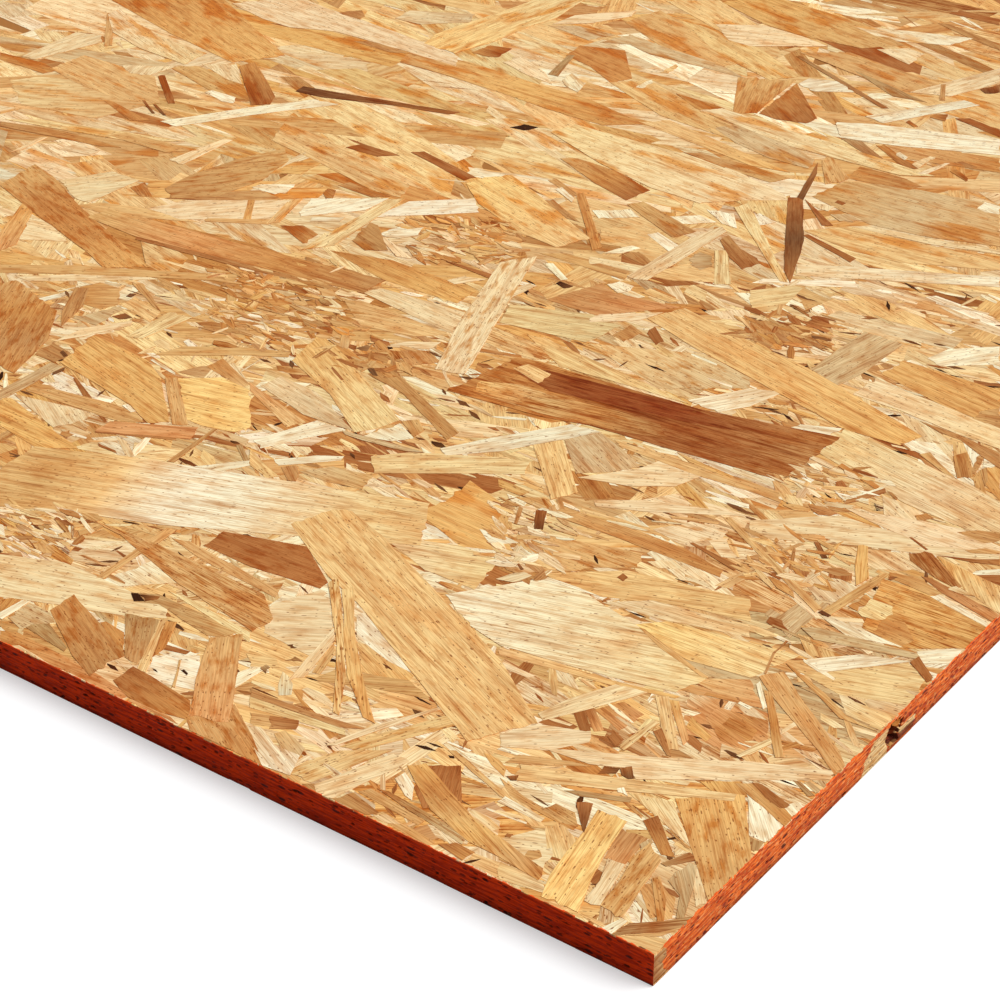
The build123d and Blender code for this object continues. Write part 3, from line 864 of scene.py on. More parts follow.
def laid_strands(rng, cover, length, width, depths, shares=TONE_SHARES, ends=BLUNT_ENDS, seen_in=None):
    """Strands laid at random with most of the grain along the panel, enough to cover it so many times.

    With seen_in they lie only where the picture shows them, in that box of pixels.
    """
    lowest, highest = low[:2] - length / 2, high[:2] + length / 2
    if seen_in:
        left, top, right, bottom = seen_in
        patch = on_top_face([(left, top), (right, top), (left, bottom), (right, bottom)])
        lowest = np.maximum(lowest, patch.min(0))
        highest = np.minimum(highest, patch.max(0))
    count = int(cover * np.prod(highest - lowest) / (length * width))
    centres = rng.uniform(lowest, highest, (count, 2))
    crosswise = rng.random(count) < CROSSWISE_SHARE
    turns = np.where(crosswise, rng.uniform(-90, 90, count), rng.normal(0, GRAIN_SPREAD, count))
    halves = length / 2 * np.clip(rng.normal(1, 0.3, count), *LENGTH_SHARES)
    widths = width / 2 * np.clip(rng.lognormal(-0.08, 0.45, count), *WIDTH_SHARES)
    slants = rng.uniform(-0.9, 0.9, (count, 2)) * widths[:, None]
    tapers = rng.uniform(*ends, (count, 2))
    bows = rng.normal(0, 0.12, (count, 2)) * widths[:, None]
    depth = rng.uniform(*depths, count)
    names = rng.choice(list(shares), (count, 2), p=list(shares.values()))
    mixes = rng.choice([0.0, 0.25, 0.6], count, p=[0.55, 0.25, 0.2])
    kinds = rng.choice(["plain", "specky", "stained", "streaked"], count, p=[0.62, 0.16, 0.12, 0.10])
    kinds[in_picture(centres, FAR_VIEW)] = "smooth"
    along = np.stack([-halves + slants[:, 0], 0 * halves, halves + slants[:, 1],
                      halves - slants[:, 1], 0 * halves, -halves - slants[:, 0]], 1)
    across = np.stack([-widths * tapers[:, 0], -widths + bows[:, 0], -widths * tapers[:, 1],
                       widths * tapers[:, 1], widths + bows[:, 1], widths * tapers[:, 0]], 1)
    strands = []
    for k in range(count):
        angle = math.radians(turns[k])
        grain = np.array([math.cos(angle), math.sin(angle)])
        sideways = np.array([-grain[1], grain[0]])
        outline = centres[k] + np.outer(along[k], grain) + np.outer(across[k], sideways)
        below = depth[k]
        if in_picture(outline, seen_in or WHOLE_VIEW).any():
            below = below if seen_in else max(below, rng.uniform(*SEEN_FILL))
        elif seen_in:
            continue
        first = toned(names[k, 0], rng)
        last = (first + mixes[k] * (toned(names[k, 1], rng) - first)) * rng.normal(1, 0.07)
        strands.append(Strand(outline, grain, below, np.array([first, last]), FIGURES[kinds[k]]))
    return strands


def cut_to_panel(strands, rng):
    """The strands sawn off at the panel's edges, some a hair shorter than others."""
    kept = []
    for strand in strands:
        outline = strand.outline
        stagger = rng.uniform(0, SAW_STAGGER)
        lowest, highest = low[:2] + stagger, high[:2] - stagger
        if (outline.min(0) < lowest).any() or (outline.max(0) > highest).any():
            outline = clipped(outline, lowest, highest)
        if outline is not None:
            kept.append(strand._replace(outline=outline))
    return kept


def along_grain(outline, grain):
    """How far along the strand each point of its outline lies, from 0 to 1."""
    reach = outline @ grain
    return (reach - reach.min()) / np.ptp(reach)


def with_cuts(outline, grain, stops):
    """The outline with a point more wherever its sides pass one of the inner stops along the grain."""
    share = along_grain(outline, grain)
    points = []
    for k, here in enumerate(share):
        after = (k + 1) % len(share)
        there = share[after]
        points.append(outline[k])
        passed = [stop for stop in stops[1:-1] if min(here, there) < stop < max(here, there)]
        for stop in passed if here < there else passed[::-1]:
            points.append(outline[k] + (stop - here) / (there - here) * (outline[after] - outline[k]))
    return np.array(points)


def planar_map(mesh):
    """A map of the mesh seen from above, filling the square, on which its finish can be baked."""
    points = np.empty(len(mesh.vertices) * 3)
    mesh.vertices.foreach_get("co", points)
    points = points.reshape(-1, 3)[:, :2]
    spread = (points - points.min(0)) / np.ptp(points, axis=0)
    corners = np.empty(len(mesh.loops), int)
    mesh.loops.foreach_get("vertex_index", corners)
    mesh.uv_layers.new(name="OFBake").data.foreach_set("uv", spread[corners].ravel())


def new_piece(name, points, faces, attributes, material):
    """A mesh object at the origin, from points in millimetres, with attributes on its points."""
    mesh = bpy.data.meshes.new(name)
    mesh.from_pydata((points * MM).tolist(), [], faces)
    for key, (kind, values) in attributes.items():
        field = "color" if kind == "FLOAT_COLOR" else "vector"
        mesh.attributes.new(key, kind, "POINT").data.foreach_set(field, np.ascontiguousarray(values).ravel())
    mesh.materials.append(material)
    return placed(name, mesh)


def strand_piece(name, strands, facing, material, rng):
    """One closed mesh of flat strands, the deepest first, facing up (1) or down (-1)."""
    face, root = (high[2], high[2] - ROOT_DEPTH) if facing > 0 else (low[2], low[2] + BACK_ROOT_DEPTH)
    points, faces, grains, tones, figures = [], [], [], [], []
    first = 0
    for strand in sorted(strands, key=lambda one: -one.depth):
        stops = np.linspace(0, 1, len(strand.tones))
        outline = with_cuts(anticlockwise(strand.outline), strand.grain, stops)
        count = len(outline)
        centre = outline.mean(0)
        local = np.column_stack([(outline - centre) @ strand.grain,
                                 (outline - centre) @ np.array([-strand.grain[1], strand.grain[0]])])
        lean = local @ rng.normal(0, (0.0003, 0.0015))
        depth = strand.depth + (lean - lean.min()) * min(1.0, STRAND_LEAN / np.ptp(lean))
        rings = [np.column_stack([outline, face - facing * depth]),
                 np.column_stack([outline, np.full(count, root)])]
        points += rings[::facing]
        upper = list(range(first, first + count))
        lower = list(range(first + count, first + 2 * count))
        sides = [(lower[k - 1], lower[k], upper[k], upper[k - 1]) for k in range(count)]
        inner, outer = [lower[::-1], upper][::facing]
        share = along_grain(outline, strand.grain)
        bands = [[k for k in outer if start <= share[(k - first) % count] <= end]
                 for start, end in zip(stops - 1e-6, stops[1:] + 1e-6)]
        faces += [inner, *sides, *bands]
        shifted = local + rng.uniform(-900, 900, 2)
        grains.append(np.tile(np.column_stack([shifted * MM, np.zeros(count)]), (2, 1)))
        tint = np.column_stack([np.interp(share, stops, channel) for channel in strand.tones.T])
        tones.append(np.tile(np.column_stack([tint, np.ones(count)]), (2, 1)))
        figures.append(np.tile(strand.figure, (2 * count, 1)))
        first += 2 * count
    attributes = {
        "grain": ("FLOAT_VECTOR", np.concatenate(grains)),
        "wood": ("FLOAT_COLOR", np.concatenate(tones)),
        "figure": ("FLOAT_VECTOR", np.concatenate(figures)),
    }
    piece = new_piece(name, np.concatenate(points), faces, attributes, material)
    planar_map(piece.data)
    return piece


def tiled_pieces(name, strands, facing, material, rng, across=4, deep=2):
    """The strands of one face, in tiles of about equal size."""
    size = (high[:2] - low[:2]) / (across, deep)
    tiles = {}
    for strand in strands:
        column, row = np.clip((strand.outline.mean(0) - low[:2]) // size, 0, (across - 1, deep - 1))
        tiles.setdefault((int(column), int(row)), []).append(strand)
    return [strand_piece(f"{name}_{column + 1}_{row + 1}", held, facing, material, rng)
            for (column, row), held in sorted(tiles.items())]


# The core and its sawn rim

def graded(length, fine_run):
    """Distances from 0 to length, close together over the first stretch."""
    fine = np.arange(0, fine_run, FINE_STEP)
    coarse = np.linspace(fine_run, length, max(2, round((length - fine_run) / COARSE_STEP)))
    return np.concatenate([fine, coarse])


def value_noise(rng, along, up, cell_along, cell_up):
    """Smooth noise from 0 to 1 on a grid of rim columns and rows."""
    columns = (along - along.min()) / cell_along
    rows = (up - up.min()) / cell_up
    lattice = rng.random((int(columns.max()) + 2, int(rows.max()) + 2))
    i, j = columns.astype(int), rows.astype(int)
    s, t = columns - i, rows - j
    s, t = s * s * (3 - 2 * s), t * t * (3 - 2 * t)
    near = lattice[np.ix_(i, j)] * (1 - t) + lattice[np.ix_(i, j + 1)] * t
    far = lattice[np.ix_(i + 1, j)] * (1 - t) + lattice[np.ix_(i + 1, j + 1)] * t
    return near * (1 - s[:, None]) + far * s[:, None]


def pitted(rng, along, up, per_metre=520):
    """Depths of the small long pits between strand ends on a sawn face."""
    depth = np.zeros((len(along), len(up)))
    for _ in range(int(per_metre * np.ptp(along) * MM)):
        place = rng.uniform(along.min(), along.max())
        height = rng.uniform(up.min(), up.max())
        half_length = rng.uniform(0.5, 1.8)
        half_height = rng.uniform(0.22, 0.5)
        deepest = rng.uniform(0.25, 0.8)
        close = np.abs(along - place) < half_length
        fall = 1 - ((along[close, None] - place) / half_length) ** 2 - ((up - height) / half_height) ** 2
        depth[close] = np.maximum(depth[close], deepest * np.sqrt(np.clip(fall, 0, None)))
    return depth


def void_depths(places, up):
    """How far the torn void reaches in, read off the solid itself."""
    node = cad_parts["osb_panel"].data
    solid = BVHTree.FromPolygons([v.co for v in node.vertices], [tuple(p.vertices) for p in node.polygons])
    depths = np.zeros((len(places), len(up)))
    for i, place in enumerate(places):
        for j, height in enumerate(up):
            start = Vector((high[0] + 1, near_corner[1] + place, height)) * MM
            hit = solid.ray_cast(start, Vector((-1, 0, 0)))[0]
            depths[i, j] = high[0] - hit.x / MM if hit else 0
    return np.clip(depths, 0, None)


def rim_side(rng, start, along, length, fine_run, fine_at_end=False, has_void=False):
    """One sawn side of the core, as a grid of points without the last column."""
    places = graded(length, fine_run)
    if fine_at_end:
        places = length - places[::-1]
    up = np.linspace(low[2] + BACK_CORE_DEPTH, high[2] - CORE_DEPTH, RIM_ROWS)
    inward = np.array([-along[1], along[0]])
    depth = sum(most * value_noise(rng, places, up, cell, rise) for most, cell, rise in RIM_RELIEF)
    depth = np.maximum(depth, pitted(rng, places, up))
    if has_void:
        reached = (places > VOID_SPAN[0] - 2) & (places < VOID_SPAN[1] + 2)
        rough = 0.8 + 0.35 * value_noise(rng, places[reached], up, 1.4, 0.6)
        torn_depth = void_depths(places[reached], up) * rough
        depth[reached] = np.maximum(depth[reached], torn_depth)
    depth[[0, -1]] = 0
    flat = np.array(start) + places[:, None] * np.array(along)
    grid = np.empty((len(places), RIM_ROWS, 3))
    grid[..., :2] = flat[:, None] + depth[..., None] * inward
    grid[..., 2] = up
    return grid[:-1]


def rim_map(mesh, columns):
    """A map of the core for baking: the rim in stacked bands, and the two caps in the last one."""
    bands = 24
    walk = np.array([mesh.vertices[i * RIM_ROWS].co[:2] for i in range(columns)])
    steps = np.hypot(*(np.roll(walk, -1, 0) - walk).T)
    starts = np.concatenate([[0], np.cumsum(steps)])
    band_run = starts[-1] * 1.03 / bands
    layer = mesh.uv_layers.new(name="OFBake")
    rows = RIM_ROWS - 1
    places = np.empty((columns, rows, 4, 2))
    band = np.floor(starts[:-1] / (starts[-1] / bands))
    across = np.stack([starts[:-1], starts[1:]], 1) - (band * starts[-1] / bands)[:, None]
    heights = np.linspace(0.04, 0.96, RIM_ROWS)
    places[..., 0, 0] = places[..., 3, 0] = across[:, :1] / band_run
    places[..., 1, 0] = places[..., 2, 0] = across[:, 1:] / band_run
    places[..., 0, 1] = places[..., 1, 1] = (band[:, None] + heights[:-1]) / (bands + 1)
    places[..., 2, 1] = places[..., 3, 1] = (band[:, None] + heights[1:]) / (bands + 1)
    caps = (walk - walk.min(0)) / np.ptp(walk, axis=0)
    caps = caps * (1, 0.9 / (bands + 1)) + (0, (bands + 0.05) / (bands + 1))
    whole = np.concatenate([places.reshape(-1, 2), caps[::-1], caps])
    layer.data.foreach_set("uv", whole.ravel())


def core_piece(material, rng):
    """The body of the panel under its face strands, with layered, pitted sides and the torn void."""
    long_run, end_run = (high - low)[:2]
    rim = np.concatenate([
        rim_side(rng, (high[0], low[1]), (0, 1), end_run, FINE_END_RUN, has_void=True),
        rim_side(rng, (high[0], high[1]), (-1, 0), long_run, 0),
        rim_side(rng, (low[0], high[1]), (0, -1), end_run, 0),
        rim_side(rng, (low[0], low[1]), (1, 0), long_run, FINE_LONG_RUN, fine_at_end=True),
    ])
    columns = len(rim)
    faces = []
    for i in range(columns):
        here, there = i * RIM_ROWS, (i + 1) % columns * RIM_ROWS
        faces += [(here + j, there + j, there + j + 1, here + j + 1) for j in range(RIM_ROWS - 1)]
    faces.append([i * RIM_ROWS for i in reversed(range(columns))])
    faces.append([i * RIM_ROWS + RIM_ROWS - 1 for i in range(columns)])
    piece = new_piece("board_core", rim.reshape(-1, 3), faces, {}, material)
    rim_map(piece.data, columns)
    return piece


def stub_piece(material, rng):
    """The broken end of a strand that stands in the torn void, by its corners along and up the sawn face."""
    outline = np.array(TORN_STUB)
    count = len(outline)
    across = np.array([near_corner[1], low[2]]) + outline
    rings = [np.column_stack([np.full(count, high[0] - depth) - rng.uniform(0, 0.5, count), across])
             for depth in STUB_DEPTHS]
    front = list(range(count))
    faces = [front, [k + count for k in reversed(front)]]
    faces += [(k, k + count, (k + 1) % count + count, (k + 1) % count) for k in front]
    grain = np.column_stack([outline * MM, np.zeros(count)])
    tone = np.array(linear(WOOD_TONES["honey"]))
    attributes = {
        "grain": ("FLOAT_VECTOR", np.tile(grain, (2, 1))),
        "wood": ("FLOAT_COLOR", np.tile(tone, (2 * count, 1))),
        "figure": ("FLOAT_VECTOR", np.tile(FIGURES["streaked"], (2 * count, 1))),
    }
    return new_piece("torn_strand_end", np.concatenate(rings), faces, attributes, material)


# Loose splinters on the top face

def splinter_tree(material):
    """Geometry nodes that scatter thin pointed splinters, pressed into the face to different depths."""
    tree = bpy.data.node_groups.new("splinters", "GeometryNodeTree")
    sockets = tree.interface
    sockets.new_socket("Geometry", in_out="INPUT", socket_type="NodeSocketGeometry")
    for name in ("Length", "Width", "Root", "Spread", "Per Square Metre"):
        sockets.new_socket(name, in_out="INPUT", socket_type="NodeSocketFloat")
    sockets.new_socket("Seed", in_out="INPUT", socket_type="NodeSocketInt")
    sockets.new_socket("Geometry", in_out="OUTPUT", socket_type="NodeSocketGeometry")
    given = add(tree, "NodeGroupInput").outputs
    disc = add(tree, "GeometryNodeMeshCircle", {"Vertices": 6, "Radius": 0.5}, fill_type="NGON")
    size = add(tree, "ShaderNodeCombineXYZ", {"X": given["Length"], "Y": given["Width"], "Z": 1.0})
    sunk = add(tree, "ShaderNodeMath", {0: given["Root"], 1: -1.0}, operation="MULTIPLY")
    drop = add(tree, "ShaderNodeCombineXYZ", {"Z": sunk.outputs[0]})
    flat = add(tree, "GeometryNodeTransform", {"Geometry": disc.outputs["Mesh"], "Scale": size.outputs[0],
                                               "Translation": drop.outputs[0]})
    raised = add(tree, "GeometryNodeExtrudeMesh", {"Mesh": flat.outputs[0], "Offset Scale": given["Root"]},
                 mode="FACES")
    under = add(tree, "GeometryNodeFlipFaces", {"Mesh": flat.outputs[0]})
    both = add(tree, "GeometryNodeJoinGeometry", {0: raised.outputs["Mesh"]})
    tree.links.new(under.outputs[0], both.inputs[0])
    closed = add(tree, "GeometryNodeMergeByDistance", {"Geometry": both.outputs[0], "Distance": 0.01 * MM})
    grained = add(tree, "GeometryNodeStoreNamedAttribute",
                  {"Geometry": closed.outputs[0], "Name": "grain",
                   "Value": add(tree, "GeometryNodeInputPosition").outputs[0]},
                  data_type="FLOAT_VECTOR", domain="POINT")
    spots = add(tree, "GeometryNodeDistributePointsOnFaces",
                {"Mesh": given["Geometry"], "Density": given["Per Square Metre"], "Seed": given["Seed"]})
    fall = add(tree, "FunctionNodeRandomValue", {2: -1.0, 3: -0.7, "Seed": given["Seed"]}, data_type="FLOAT")
    lower = add(tree, "ShaderNodeMath", {0: fall.outputs[1], 1: given["Spread"]}, operation="MULTIPLY")
    sunk_spots = add(tree, "GeometryNodeSetPosition",
                     {"Geometry": spots.outputs["Points"],
                      "Offset": add(tree, "ShaderNodeCombineXYZ", {"Z": lower.outputs[0]}).outputs[0]})
    turn = add(tree, "FunctionNodeRandomValue", {0: (0, 0, -0.7), 1: (0, 0, 0.7), "Seed": 3},
               data_type="FLOAT_VECTOR")
    stretch = add(tree, "FunctionNodeRandomValue", {0: (0.4, 0.5, 1), 1: (1.5, 1.5, 1), "Seed": 5},
                  data_type="FLOAT_VECTOR")
    laid = add(tree, "GeometryNodeInstanceOnPoints",
               {"Points": sunk_spots.outputs[0], "Instance": grained.outputs[0], "Rotation": turn.outputs[0],
                "Scale": stretch.outputs[0]})
    pick = add(tree, "FunctionNodeRandomValue", {2: 0.0, 3: 1.0, "Seed": 7}, data_type="FLOAT")
    tones = add(tree, "ShaderNodeValToRGB", {"Fac": pick.outputs[1]})
    ramp = tones.color_ramp
    ramp.interpolation = "CONSTANT"
    names = ("cream", "honey", "tan", "brown", "pale", "amber", "umber")
    for k, name in enumerate(names):
        stop = ramp.elements[k] if k < 2 else ramp.elements.new(k / len(names))
        stop.position = k / len(names)
        stop.color = linear(WOOD_TONES[name])
    tinted = add(tree, "GeometryNodeStoreNamedAttribute",
                 {"Geometry": laid.outputs[0], "Name": "wood", "Value": tones.outputs[0]},
                 data_type="FLOAT_COLOR", domain="INSTANCE")
    figured = add(tree, "GeometryNodeStoreNamedAttribute",
                  {"Geometry": tinted.outputs[0], "Name": "figure", "Value": FIGURES["plain"]},
                  data_type="FLOAT_VECTOR", domain="INSTANCE")
    real = add(tree, "GeometryNodeRealizeInstances", {"Geometry": figured.outputs[0]})
    dressed = add(tree, "GeometryNodeSetMaterial", {"Geometry": real.outputs[0], "Material": material})
    add(tree, "NodeGroupOutput", {0: dressed.outputs[0]})
    return tree


def splinter_piece(material):
    """The scattered splinters as one plain mesh, kept clear of the sawn edges."""
    margin = 25.0
    inset = np.array([margin, margin])
    (x0, y0), (x1, y1) = low[:2] + inset, high[:2] - inset
    bed = bpy.data.meshes.new("splinter_bed")
    bed.from_pydata([(x * MM, y * MM, high[2] * MM) for x, y in ((x0, y0), (x1, y0), (x1, y1), (x0, y1))], [],
                    [(0, 1, 2, 3)])
    source = placed("splinter_bed", bed)
    modifier = source.modifiers.new("splinters", "NODES")
    modifier.node_group = splinter_tree(material)
    values = {"Length": 17 * MM, "Width": 1.3 * MM, "Root": ROOT_DEPTH * MM, "Spread": 0.3 * MM,
              "Per Square Metre": 900.0, "Seed": 11}
    for socket in modifier.node_group.interface.items_tree:
        if socket.in_out == "INPUT" and socket.name in values:
            modifier[socket.identifier] = values[socket.name]
    evaluated = source.evaluated_get(bpy.context.evaluated_depsgraph_get())
    mesh = bpy.data.meshes.new_from_object(evaluated)
    mesh.name = "face_splinters"
    bpy.data.objects.remove(source)
    piece = placed("face_splinters", mesh)
    planar_map(mesh)
    return piece


# Finishes

Rim = namedtuple("Rim", "axes depth on_end place noise")


def new_material(name):
    """A material without a finish yet, and its node tree."""
    material = bpy.data.materials.new(name)
    material.use_nodes = True
    material.node_tree.nodes.clear()
    return material, material.node_tree


def stretched_noise(tree, place, patterns, roughness):
    """Noise over a place, by each pattern's length and width in millimetres and its detail."""
    noise = {}
    for name, (along, across, detail) in patterns.items():
        spread = add(tree, "ShaderNodeVectorMath", {0: place, 1: (1 / along / MM, 1 / across / MM, 0)},
                     operation="MULTIPLY")
        settings = {"Vector": spread.outputs[0], "Scale": 1.0, "Detail": detail, "Roughness": roughness}
        noise[name] = add(tree, "ShaderNodeTexNoise", settings, noise_dimensions="2D").outputs["Fac"]
    return noise


def scattered_marks(tree, place, along, across, scarce, largest, border, strength):
    """Short dark marks, at most one in each cell so many millimetres along and across.

    A scarce share of the cells has none. The largest mark and its soft border are shares of a cell.
    """
    cells = add(tree, "ShaderNodeVectorMath", {0: place, 1: (1 / along / MM, 1 / across / MM, 0)},
                operation="MULTIPLY")
    mark = add(tree, "ShaderNodeTexVoronoi", {"Vector": cells.outputs[0], "Scale": 1.0},
               voronoi_dimensions="2D")
    chance = add(tree, "ShaderNodeSeparateXYZ", {0: mark.outputs["Color"]}).outputs[0]
    size = add(tree, "ShaderNodeMapRange", {0: chance, 1: scarce, 2: 1.0, 4: largest})
    inside = add(tree, "ShaderNodeMath", {0: size.outputs[0], 1: mark.outputs["Distance"]},
                 operation="SUBTRACT")
    return add(tree, "ShaderNodeMapRange", {0: inside.outputs[0], 2: border, 4: strength}).outputs[0]


def flatness(tree):
    """1 where the surface faces straight up or down, and 0 where it is upright."""
    facing = add(tree, "ShaderNodeNewGeometry").outputs["True Normal"]
    rise = add(tree, "ShaderNodeSeparateXYZ", {0: facing}).outputs[2]
    return add(tree, "ShaderNodeMath", {0: rise}, operation="ABSOLUTE").outputs[0]


def rim_place(tree):
    """Where a point lies on the rim: its axes, its depth behind the sawn face, whether that face is an end,
    and its place along and up the face, with noise over that place."""
    position = add(tree, "ShaderNodeTexCoord").outputs["Object"]
    axes = add(tree, "ShaderNodeSeparateXYZ", {0: position}).outputs
    size = add(tree, "ShaderNodeVectorMath", {0: position}, operation="ABSOLUTE")
    inset = add(tree, "ShaderNodeVectorMath", {0: tuple(high * MM), 1: size.outputs[0]}, operation="SUBTRACT")
    gaps = add(tree, "ShaderNodeSeparateXYZ", {0: inset.outputs[0]}).outputs
    depth = add(tree, "ShaderNodeMath", {0: gaps[0], 1: gaps[1]}, operation="MINIMUM").outputs[0]
    on_end = add(tree, "ShaderNodeMath", {0: gaps[0], 1: gaps[1]}, operation="LESS_THAN").outputs[0]
    run = add(tree, "ShaderNodeMath", {0: axes[0], 1: axes[1]}, operation="ADD").outputs[0]
    place = add(tree, "ShaderNodeCombineXYZ", {"X": run, "Y": axes[2]}).outputs[0]
    # Length along the rim, height and detail; a nick or chip is the same all the way down
    patterns = {"streak": (11.0, 0.8, 3.0), "mottle": (2.2, 0.9, 3.0), "patch": (9.0, 4.0, 3.0),
                "nick": (3.0, 60.0, 3.0), "chip": (6.0, 90.0, 3.0)}
    return Rim(axes, depth, on_end, place, stretched_noise(tree, place, patterns, 0.5))


def sealer_colour(tree, rim, bare):
    """The sealer's colour. It is one sealer, but painted deep red on the long edges and more orange on the
    ends, as painted shade on the long edges and painted light on the ends. It is thinner in patches where the
    ends soaked it up, with dark dashes where it ran into the gaps between strands, a painted highlight along
    the upper arris and painted shade lower down."""
    # Painted light and shade: the one sealer gets deep red on the long edges, which stand in shade, and
    # orange on the lit ends
    light = add(tree, "ShaderNodeMix", {0: rim.on_end, 6: linear("#f4420a"), 7: linear("#ea732b")},
                data_type="RGBA")
    deep = add(tree, "ShaderNodeMix", {0: rim.on_end, 6: linear("#c22c06"), 7: linear("#b44212")},
               data_type="RGBA")
    streaked = add(tree, "ShaderNodeMapRange", {0: rim.noise["streak"], 1: 0.41, 2: 0.59})
    colour = add(tree, "ShaderNodeMix", {0: streaked.outputs[0], 6: deep.outputs[2], 7: light.outputs[2]},
                 data_type="RGBA").outputs[2]
    thin = add(tree, "ShaderNodeMapRange", {0: rim.noise["mottle"], 1: 0.52, 2: 0.75, 4: 0.5})
    thin = add(tree, "ShaderNodeMath", {0: thin.outputs[0], 1: rim.on_end}, operation="MULTIPLY")
    colour = add(tree, "ShaderNodeMix", {0: thin.outputs[0], 6: colour, 7: bare}, data_type="RGBA").outputs[2]
    thick = add(tree, "ShaderNodeMapRange", {0: rim.noise["mottle"], 1: 0.46, 2: 0.28, 4: 0.7})
    colour = add(tree, "ShaderNodeMix", {0: thick.outputs[0], 6: colour, 7: deep.outputs[2]},
                 data_type="RGBA").outputs[2]
    # Dashes: cell length and height, the largest dash as a share of its cell, colour
    for along, up, largest, tint in ((3.4, 1.2, 0.40, "#7e1e08"), (7.0, 2.2, 0.26, "#40100a")):
        dashes = scattered_marks(tree, rim.place, along, up, 0.5, largest, largest / 4, 0.9)
        colour = add(tree, "ShaderNodeMix", {0: dashes, 6: colour, 7: linear(tint)},
                     data_type="RGBA").outputs[2]
    # A painted highlight along the upper arris
    starts, brightest = ((high[2] - depth) * MM for depth in ARRIS_HIGHLIGHT_DEPTHS)
    arris = add(tree, "ShaderNodeMapRange", {0: rim.axes[2], 1: starts, 2: brightest, 4: 0.5})
    colour = add(tree, "ShaderNodeMix", {0: arris.outputs[0], 6: colour, 7: linear("#e8662c")},
                 data_type="RGBA").outputs[2]
    # Painted shade: darker down the edge towards the floor, and darkest just above it
    rise = add(tree, "ShaderNodeMapRange",
               {0: rim.axes[2], 1: low[2] * MM, 2: high[2] * MM, 3: 0.88, 4: 1.14})
    foot = add(tree, "ShaderNodeMapRange",
               {0: rim.axes[2], 1: low[2] * MM, 2: (low[2] + FLOOR_SHADE_HEIGHT) * MM, 3: 0.6, 4: 1.0})
    shade = add(tree, "ShaderNodeMath", {0: rise.outputs[0], 1: foot.outputs[0]}, operation="MULTIPLY")
    return add(tree, "ShaderNodeHueSaturation", {"Value": shade.outputs[0], "Color": colour}).outputs[0]


def sealer_lost(tree, rim):
    """Where the sealer is gone: in chips along the arris, at the near corner and round the torn void."""
    starts, whole = ((high[2] - depth) * MM for depth in CHIP_DEPTHS)
    arris = add(tree, "ShaderNodeMapRange", {0: rim.axes[2], 1: starts, 2: whole})
    nicked = add(tree, "ShaderNodeMath", {0: rim.noise["chip"], 1: 0.6}, operation="GREATER_THAN")
    chipped = add(tree, "ShaderNodeMath", {0: arris.outputs[0], 1: nicked.outputs[0]}, operation="MULTIPLY")
    wander = add(tree, "ShaderNodeMapRange",
                 {0: rim.noise["patch"], 3: -BARE_WANDER * MM, 4: BARE_WANDER * MM}).outputs[0]
    walked = add(tree, "ShaderNodeMath", {0: rim.axes[1], 1: near_corner[1] * MM}, operation="SUBTRACT")
    ragged = add(tree, "ShaderNodeMath", {0: walked.outputs[0], 1: wander}, operation="ADD").outputs[0]
    at_corner = add(tree, "ShaderNodeMath", {0: ragged, 1: BARE_CORNER_RUN * MM}, operation="LESS_THAN")
    # Before the void the bare patch climbs from the underside to the skin, and past it a low wedge is bare
    foot, end = BARE_PATCH_RUN
    past_foot = add(tree, "ShaderNodeMath", {0: ragged, 1: foot * MM}, operation="SUBTRACT")
    climb = add(tree, "ShaderNodeMath", {0: past_foot.outputs[0], 1: BARE_PATCH_SLOPE}, operation="MULTIPLY")
    brow = add(tree, "ShaderNodeMath", {0: climb.outputs[0], 1: BARE_PATCH_TOP * MM}, operation="MINIMUM")
    under_brow = add(tree, "ShaderNodeMath", {0: rim.axes[2], 1: brow.outputs[0]}, operation="LESS_THAN")
    before_end = add(tree, "ShaderNodeMath", {0: walked.outputs[0], 1: end * MM}, operation="LESS_THAN")
    patch = add(tree, "ShaderNodeMath", {0: under_brow.outputs[0], 1: before_end.outputs[0]},
                operation="MULTIPLY")
    middle, reach = BARE_WEDGE_RUN
    wedge_run = add(tree, "ShaderNodeMath", {0: ragged, 1: middle * MM, 2: reach * MM}, operation="COMPARE")
    middle, reach = BARE_WEDGE_HEIGHT
    wedge_height = add(tree, "ShaderNodeMath", {0: rim.axes[2], 1: middle * MM, 2: reach * MM},
                       operation="COMPARE")
    wedge = add(tree, "ShaderNodeMath", {0: wedge_run.outputs[0], 1: wedge_height.outputs[0]},
                operation="MULTIPLY")
    worn = add(tree, "ShaderNodeMath", {0: at_corner.outputs[0], 1: patch.outputs[0]}, operation="MAXIMUM")
    worn = add(tree, "ShaderNodeMath", {0: worn.outputs[0], 1: wedge.outputs[0]}, operation="MAXIMUM")
    on_right = add(tree, "ShaderNodeMath", {0: rim.axes[0], 1: 0.0}, operation="GREATER_THAN")
    right_end = add(tree, "ShaderNodeMath", {0: on_right.outputs[0], 1: rim.on_end}, operation="MULTIPLY")
    worn = add(tree, "ShaderNodeMath", {0: worn.outputs[0], 1: right_end.outputs[0]}, operation="MULTIPLY")
    return add(tree, "ShaderNodeMath", {0: worn.outputs[0], 1: chipped.outputs[0]},
               operation="MAXIMUM").outputs[0]


